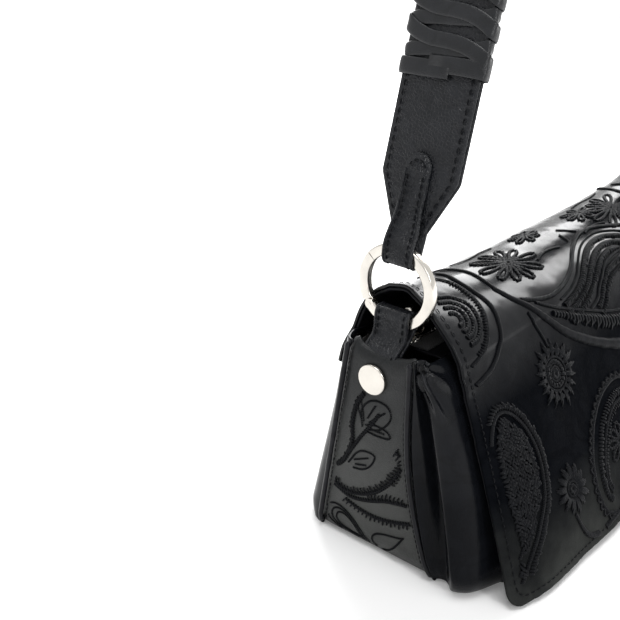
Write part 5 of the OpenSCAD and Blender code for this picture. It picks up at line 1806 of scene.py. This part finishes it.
@dataclass
class FlapEmbroidery:
    """Traditional paisley and daisy needlework over the flap, the same on both halves but for the big leaf."""

    palette: Palette
    flap: "Flap"

    def crescent(self) -> Needle:
        """Paisley at the top corner: three nested cords and a drop of hatched arcs."""
        n = Needle()
        n.rope(
            curve([
                (-95, 24), (-98, 35), (-97, 45), (-95.5, 57), (-100, 67), (-106, 74.5), (-114, 80), (-124, 83),
                (-130, 84)
            ]),
            3.0, 1.0, 0.5
        )
        inner = curve([
            (-106, 32), (-102, 39), (-101, 47), (-102, 55), (-105, 61), (-110, 66.5), (-116, 71), (-122, 73.5),
            (-128, 75)
        ])
        n.rope(inner, 2.4, 0.95, 0.46)
        n.comb(inner[20:170], 2.4, 1.6, 0.42)
        for size in (1.0, 0.74, 0.5, 0.26):
            arc = np.array([
                (-124.5, 44), (-114, 45.5), (-107.5, 52), (-110, 60.5), (-117, 66), (-124, 67)
            ]) - (-123, 56)
            n.zigzag(curve(arc * size + (-123, 56)), 2.2, 0.8, 0.42)
        n.rope(
            curve([(-96, 14), (-88, 22), (-84.5, 34), (-84, 44), (-83, 52), (-79, 58.5), (-74, 63)]), 2.4, 0.95, 0.46
        )
        return n

    def sash(self) -> Needle:
        """Thick satin curve that runs from the top corner down below the middle, with a stem that leaves it."""
        n = Needle()
        line = curve([
            (-84, 50), (-80, 57), (-74, 64), (-69, 69.5), (-62, 76), (-53, 84.5), (-39, 93.5), (-24, 101), (-9, 107),
            (0, 109)
        ])
        n.satin(line, [2.6, 3.4, 4.4, 5.2, 5.8, 6.0], 0.95, 0.55, 0.1)
        n.rope(curve([(-76, 68), (-74.5, 74), (-72.5, 80), (-70.5, 86)]), 2.0)
        return n

    def star(self) -> Needle:
        """Flower of looped petals near the crest, its twig, and a fine line of stitches behind it."""
        n = Needle()
        n.loops((-57, 41), 3.5, 21.0, 10, 4.6, 0.68, 0.2)
        n.loops((-57, 41), 1.0, 10.0, 8, 2.6, 0.7, 0.0)
        n.rope(curve([(-37, 47), (-30, 45.2), (-22, 45.2), (-15, 46.6)]), 1.7)
        n.rope(curve([(-78, 21), (-66, 23), (-54, 22), (-44, 23)]), 1.1, 1.1, 0.34)
        return n

    def palmette(self) -> Needle:
        """Big leaf across the middle: a thick outer cord, a thin one, dense combs, an arch, and long teeth below."""
        n = Needle()
        top = curve(
            [
                (-74, 61), (-67, 63.5), (-59, 65.5), (-50, 66.5), (-38, 65), (-29, 62.5), (-20, 58.5), (-10, 52.5),
                (2, 47.5), (14, 45), (26, 46), (36, 49.5), (46, 53), (57, 59), (63, 68)
            ],
            300
        )
        low = curve(
            [
                (-66, 65.5), (-56, 71), (-40, 77.5), (-24, 83.5), (-10, 88.5), (4, 92), (22, 93), (40, 89), (55, 80),
                (63, 68)
            ],
            300
        )
        n.rope(top, 2.8, 1.0, 0.5)
        n.rope(low, 2.0, 0.95, 0.46)
        thin = curve(
            [
                (-46, 70.5), (-42, 70), (-32, 68), (-22, 64), (-14, 59), (-2, 53), (10, 50), (22, 49.5), (32, 52),
                (41, 56), (52, 63), (56, 70)
            ],
            260
        )
        n.rope(thin, 1.4)
        for off, tall in ((2.0, 3.6), (6.6, 3.6), (11.0, 3.4)):
            row = thin + off * across(thin)
            n.comb(row[10:-14], tall, 1.45, 0.55, 0.25)
        arch = curve(
            [(-22, 83), (-13, 80.5), (-8, 76), (-2, 71), (5, 67), (17, 65), (27, 65), (38, 69), (42, 77), (34, 84)],
            220
        )
        n.rope(arch, 2.2)
        for off, tall in ((1.6, 3.4), (6.0, 3.2)):
            row = arch + off * across(arch)
            n.comb(row[16:-10], tall, 1.5, 0.5, 0.25)
        n.comb((low + 1.6 * across(low))[36:-10], [3.0, 6.0, 7.5, 8.0, 7.5, 6.0, 4.0], 2.6, 0.85, 0.1)
        for place, size, turn in (((-18, 28), 11.5, 0.1), ((34, 33), 13.0, 0.5)):
            n.loops(place, 1.2, size, 7, 4.0, 0.6, turn)
        n.rope(curve([(-3.5, 40.5), (-4, 46)], 20), 1.8)
        n.rope(curve([(1, 36.5), (5, 39.5), (10, 43)], 40), 1.4)
        return n

    def mandala(self) -> Needle:
        """Large daisy: a dense ring, long split petals and an outer round of short stitches."""
        n = Needle()
        centre = (-72, 100)
        n.flower(centre, 9.0, 19.0, 18, 3, 0.86, 0.1)
        n.flower(centre, 5.0, 8.8, 16, 2, 0.86)
        n.flower(centre, 11.5, 15.0, 18, 2, 0.86, 0.6)
        n.flower(centre, 0.6, 3.6, 9, 2, 0.86)
        return n

    def feather(self) -> Needle:
        """Tall paisley beside the edge: a feathery border over a densely filled drop."""
        n = Needle()
        line = curve(
            [
                (-136, 175), (-135.5, 160), (-135, 144), (-134, 128), (-131, 112), (-124, 102), (-115, 103.5),
                (-107.5, 115), (-105.5, 130), (-110, 144), (-119, 157), (-129, 169), (-136, 177)
            ],
            300
        )
        n.rope(line[60:], 2.6, 1.0, 0.5)
        sign = winding(line)
        n.comb(line[110:290] - sign * 1.0 * across(line[110:290]), -3.6 * sign, 1.5, 0.55, 0.6)
        inner = shrink(line, 5.0)
        n.rope(inner[80:280], 1.8)
        n.fill(shrink(line, 3.2), 0.3, 2.1, 3.4, 0.55)
        return n

    def daisy(self) -> Needle:
        """Daisy near the hem, with a satin stem that bends along the hem."""
        n = Needle()
        n.flower((-90, 151), 4.6, 13.5, 13, 4, 0.95, 0.15)
        n.flower((-90, 151), 0.6, 3.2, 7, 2)
        stem = curve([(-93, 163), (-90, 170), (-86, 176), (-80, 179.5), (-72, 180.5), (-64, 179.5), (-57, 179)])
        n.satin(stem, [2.0, 2.6, 3.2, 3.0, 2.4], 0.85, 0.5)
        return n

    def drop(self) -> Needle:
        """Scalloped paisley in the lower middle: arches outside, two cords, combs and a small flower."""
        n = Needle()
        line = curve(
            [
                (-56, 179), (-66, 174), (-71, 162), (-69, 150), (-62, 139), (-52, 129), (-38, 121.5), (-23, 120.5),
                (-11, 127), (-7, 140), (-12, 154), (-24, 165), (-40, 173), (-56, 179)
            ],
            320
        )
        sign = winding(line)
        n.rope(line, 2.4, 1.0, 0.48)
        n.scallops((line if sign < 0 else line[::-1])[6:-6], 2.6, 4.6, 1.9)
        middle = shrink(line, 5.0)
        n.comb(middle[16:-16], 4.0 * sign, 1.9, 0.6, 0.2)
        inner = shrink(line, 10.5)
        n.rope(inner[24:-24], 2.0)
        n.comb(inner[30:-30], 3.2 * sign, 1.8, 0.5, 0.2)
        n.loops((-40, 148), 1.5, 11.0, 8, 4.0, 0.9, 0.2)
        return n

    def build(self) -> None:
        """Sews every motif onto both halves of the flap."""
        for make in (self.crescent, self.sash, self.star, self.mandala, self.feather, self.daisy, self.drop):
            one = make()
            self.sew(make.__name__, np.concatenate([one.all(), one.mirror().all()]))
        self.sew("palmette", self.palmette().all())

    def sew(self, name: str, rows: Array) -> None:
        """Lays a motif's threads on the flap's two parts, without the stitches that would fall off the leather."""
        inside = self.flap.half_width(rows[:, 1]) - np.maximum(np.abs(rows[:, 0]), np.abs(rows[:, 2]))
        rows = rows[(inside > 5.2) & (np.maximum(rows[:, 1], rows[:, 3]) < self.flap.run[-1] - 5)]
        parts = self.flap.lay(rows[:, :2], rows[:, 2:4], rows[:, 4])
        for part, rear in zip(parts, (True, False)):
            if part:
                self.flap.bend(
                    f"needlework_{name}_{'rear' if rear else 'fore'}", part, self.palette["black_thread"], Slot.OUTER,
                    rear
                )


@dataclass
class EndEmbroidery:
    """Vine, sprig and crescents sewn on both end panels, placed by distance to the back and height."""

    palette: Palette
    grid: Array

    def motif(self) -> Needle:
        """All stitches of the left panel."""
        n = Needle()
        vine = curve([(5.5, 83.5), (9.5, 76), (11.5, 66), (11.2, 57), (14.5, 47), (19, 41), (23.0, 38.5)])
        n.zigzag(vine, 2.6, 0.75)
        n.comb(vine[20:180], 1.7, 2.4, 0.34, -0.4)
        n.zigzag(curve([(13.3, 49.2), (6.9, 59.9), (1.3, 68.0), (-3.6, 76.0)]), 2.0, 0.8)
        for knots in (
            [(5.6, 66.5), (6.6, 74), (2.6, 80.2), (-3.4, 82), (-8.6, 80.4), (-9.6, 75), (-4.4, 68.4), (1.4, 66.2)],
            [(3.4, 68.0), (-1.6, 69.6), (-8.2, 68.6), (-9.6, 65.6), (-3.6, 64.6), (3.0, 64.8)],
            [(6.8, 71.0), (8.6, 76.0), (7.4, 79.6), (5.8, 75.0), (5.0, 69.5)],
            [(13.1, 44.2), (8.6, 51.0), (4.0, 53.8), (-1.8, 53.4), (0.2, 47.6), (4.8, 43.6), (10.1, 42.4)],
        ):
            n.rope(curve(knots), 1.2, 0.9, 0.3)
        for start, end in (
            ((1.6, 70), (-6.4, 77.5)), ((2.6, 72), (-1.0, 79.0)), ((0, 66.8), (-6.4, 67.0)),
            ((9.6, 47.0), (2.0, 50.8)), ((8.8, 44.8), (3.2, 46.4))
        ):
            n.rope(curve([start, end], 20), 1.2, 1.0, 0.3)
        first = curve([
            (25.0, 31.5), (16.0, 27.6), (6.0, 29.4), (-2.7, 34.2), (-9.6, 41.2), (-14.6, 49.0), (-16.6, 55.6),
            (-13.6, 60.6)
        ])
        n.zigzag(first, 2.2, 0.75)
        n.comb(first[::-1], 3.2, 2.3, 0.36, 0.5)
        n.comb(first[120:], 2.6, 2.2, 0.34, 0.4)
        second = curve([(22.0, 28.0), (12.0, 25.4), (1.5, 27.6), (-8.0, 31.6), (-16.0, 33.6), (-23.5, 34.6)])
        n.zigzag(second, 2.4, 0.75)
        n.comb(second[::-1][:120], 3.4, 2.1, 0.36, -0.5)
        third = curve([(15.0, 22.8), (6.0, 20.6), (-3.2, 20.2), (-13.0, 22.2), (-23.4, 25.6)])
        n.zigzag(third, 2.2, 0.75)
        n.comb(third, 3.0, 2.3, 0.36, -0.3)
        n.comb(curve([(-22.5, 27), (-18.0, 34), (-18.5, 41)]), 3.4, 1.9, 0.36, 0.3)
        for size in (1.0, 0.78, 0.58):
            n.rope(teardrop((12.0, 8.4), 30 * size, 12.5 * size, 196, 1.6 * size), 1.2, 0.9, 0.32)
        n.rope(teardrop((-11.0, 9.0), 20, 8.5, 160, -1.4), 1.2, 0.9, 0.32)
        return n

    def build(self) -> None:
        """Lays the stitches on the left panel's face and mirrors them."""
        rows = self.motif().all()
        keep = np.ones(len(rows), bool)
        for k in (0, 2):
            y, z = rows[:, k], rows[:, k + 1]
            keep &= (z > 2.5) & (z < 100) & (y < FORM.rear_seam(z) - 3.6) & (y > FORM.front_seam(z) + 3.6)
            keep &= np.hypot(y - FORM.rivet_y, z - FORM.rivet_z) > FORM.rivet_r + 0.6
        rows = rows[keep]
        start, end = self.on_panel(rows[:, 0], rows[:, 1]), self.on_panel(rows[:, 2], rows[:, 3])
        patch = threads(start, end, repeat(-X_AXIS, len(rows)), rows[:, 4])
        thread = self.palette["black_thread"]
        place_all(
            {
                "end_needlework_left": (patch, thread, Slot.OUTER, ()),
                "end_needlework_right": (mirrored(patch), thread, Slot.OUTER, ())
            },
            Carrier.BAG
        )

    def on_panel(self, y: Array, z: Array) -> Array:
        """Point on the panel's outer face at a place: the nearest rows and columns of its grid, blended."""
        rows, cols = self.grid.shape[:2]
        top = self.grid[-1, :, 2]
        s = (FORM.rear_seam(z) - FORM.fit - y) / (FORM.rear_seam(z) - FORM.front_seam(z) - 2 * FORM.fit)
        s = np.clip(s, 0, 1) * (cols - 1)
        ceiling = np.interp(s, np.arange(cols), top)
        t = np.clip((z - self.grid[0, 0, 2]) / (ceiling - self.grid[0, 0, 2]), 0, 1) * (rows - 1)
        i, j = np.minimum(t.astype(int), rows - 2), np.minimum(s.astype(int), cols - 2)
        a, b = t - i, s - j
        x = self.grid[..., 0]
        depth = (x[i, j] * (1 - b) + x[i, j + 1] * b) * (1 - a) + (x[i + 1, j] * (1 - b) + x[i + 1, j + 1] * b) * a
        return columns(depth - 0.1, y, z)


def place_all(pieces: dict[str, tuple], carrier: Carrier) -> None:
    """Makes each piece from its patch and material, hides its nodes, and lets it ride on one body; each entry also
    lists a slot.
    """
    for name, (patch, material, slot, nodes) in pieces.items():
        piece = make_piece(name, patch, material)
        if nodes:
            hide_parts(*nodes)
        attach(piece, carrier.value)


@dataclass
class Studio:
    """Camera, plain pale floor and soft lights."""

    azimuth: float = -49.0
    elevation: float = 24.0
    place: tuple[float, float, float] = (-451.7, -224.3, 292.6)
    lens: float = 55.742

    def camera(self) -> None:
        """Camera at the photograph's angle, level, with no shift."""
        a, e = math.radians(self.azimuth), math.radians(self.elevation)
        back = np.array([math.sin(a) * math.cos(e), -math.cos(a) * math.cos(e), math.sin(e)])
        right = np.array([math.cos(a), math.sin(a), 0.0])
        turn = columns(right, np.cross(back, right), back)
        data = bpy.data.cameras.new("photo_camera")
        data.lens, data.sensor_width = self.lens, 36.0
        data.clip_start, data.clip_end = 0.01, 50.0
        camera = bpy.data.objects.new("photo_camera", data)
        camera.matrix_world = Matrix.Translation(np.array(self.place) * MM) @ Matrix(turn.tolist()).to_4x4()
        bpy.context.scene.collection.objects.link(camera)
        bpy.context.scene.camera = camera

    @staticmethod
    def seen(n: Nodes) -> bpy.types.NodeSocket:
        """1 for rays from the camera, from a gloss or through glass, and 0 for the light that falls on things."""
        rays = n.add("ShaderNodeLightPath").outputs
        indirect = n.math("ADD", rays["Is Glossy Ray"], rays["Is Transmission Ray"])
        return n.math("ADD", rays["Is Camera Ray"], indirect, clamp=True)

    def floor(self) -> None:
        """Large pale floor that takes the shadow and looks white to the camera."""
        side = 6.0
        corners = [(-side, -side, 0), (side, -side, 0), (side, side, 0), (-side, side, 0)]
        material, n, shader = new_material("floor_paper")
        n.feed(shader, {"Base Color": (0.93, 0.93, 0.93, 1), "Roughness": 0.9, "Specular IOR Level": 0.1})
        seen = self.seen(n)
        place = n.add("ShaderNodeTexCoord").outputs["Object"]
        away = n.add("ShaderNodeVectorMath", {0: place}, operation="LENGTH").outputs["Value"]
        glow = n.add("ShaderNodeEmission", {"Strength": n.math("MULTIPLY", seen, n.ramp(away, 0.2, 1.5, 0.1, 0.95))})
        total = n.add("ShaderNodeAddShader", {0: shader.outputs[0], 1: glow.outputs[0]})
        leave = next(node for node in n.tree.nodes if node.type == "OUTPUT_MATERIAL")
        n.tree.links.new(total.outputs[0], leave.inputs["Surface"])
        mesh = bpy.data.meshes.new("floor")
        mesh.from_pydata(corners, [], [(0, 1, 2, 3)])
        mesh.materials.append(material)
        floor = bpy.data.objects.new("floor", mesh)
        bpy.context.scene.collection.objects.link(floor)

    def light(
        self, name: str, place: tuple[float, float, float], target: tuple[float, float, float],
        size: tuple[float, float], power: float
    ) -> None:
        """One soft box, aimed at a point; places and sizes are in metres."""
        data = bpy.data.lights.new(name, "AREA")
        data.shape, data.size, data.size_y, data.energy = "RECTANGLE", size[0], size[1], power
        lamp = bpy.data.objects.new(name, data)
        away = unit(np.array(place, float) - np.array(target, float))
        right = unit(np.cross((0, 0, 1.0), away) if abs(away[2]) < 0.99 else np.array([1.0, 0, 0]))
        turn = columns(right, np.cross(away, right), away)
        lamp.matrix_world = Matrix.Translation(place) @ Matrix(turn.tolist()).to_4x4()
        bpy.context.scene.collection.objects.link(lamp)

    def world(self) -> None:
        """White to the camera, pale grey in gloss, plain soft light on the rest."""
        world = bpy.data.worlds.new("studio_world")
        bpy.context.scene.world = world
        world.use_nodes = True
        world.node_tree.nodes.clear()
        n = Nodes(world.node_tree)
        strength = n.math("ADD", n.math("MULTIPLY", self.seen(n), 0.55), 0.45)
        back = n.add("ShaderNodeBackground", {"Color": (1, 1, 1, 1), "Strength": strength})
        leave = n.add("ShaderNodeOutputWorld")
        n.tree.links.new(back.outputs[0], leave.inputs["Surface"])

    def build(self) -> None:
        """Sets up the whole studio."""
        bpy.context.scene.view_settings.view_transform = "Standard"
        self.camera()
        self.floor()
        self.world()
        middle = (0.0, 0.0, 0.1)
        self.light("right_box", (0.88, 0.4, 0.8), middle, (1.5, 0.8), 34.0)
        self.light("top_box", (-0.25, -0.1, 1.35), middle, (0.6, 0.6), 8.0)
        self.light("front_strip", (-0.35, -1.1, 0.75), middle, (0.18, 0.7), 4.5)


def main() -> None:
    """Builds the studio and then each sub-assembly in order."""
    logging.basicConfig(level=logging.INFO, format="%(name)s: %(message)s")
    Studio().build()
    palette = Palette().build()
    Walls(palette).build()
    Pouch(palette).build()
    Zip(palette).build()
    Fittings(palette).build()
    Strap(palette).build()
    flap = Flap(palette)
    flap.build()
    FlapEmbroidery(palette, flap).build()
    EndEmbroidery(palette, Walls(palette).end_grid()).build()


if __name__ == "__main__":
    main()
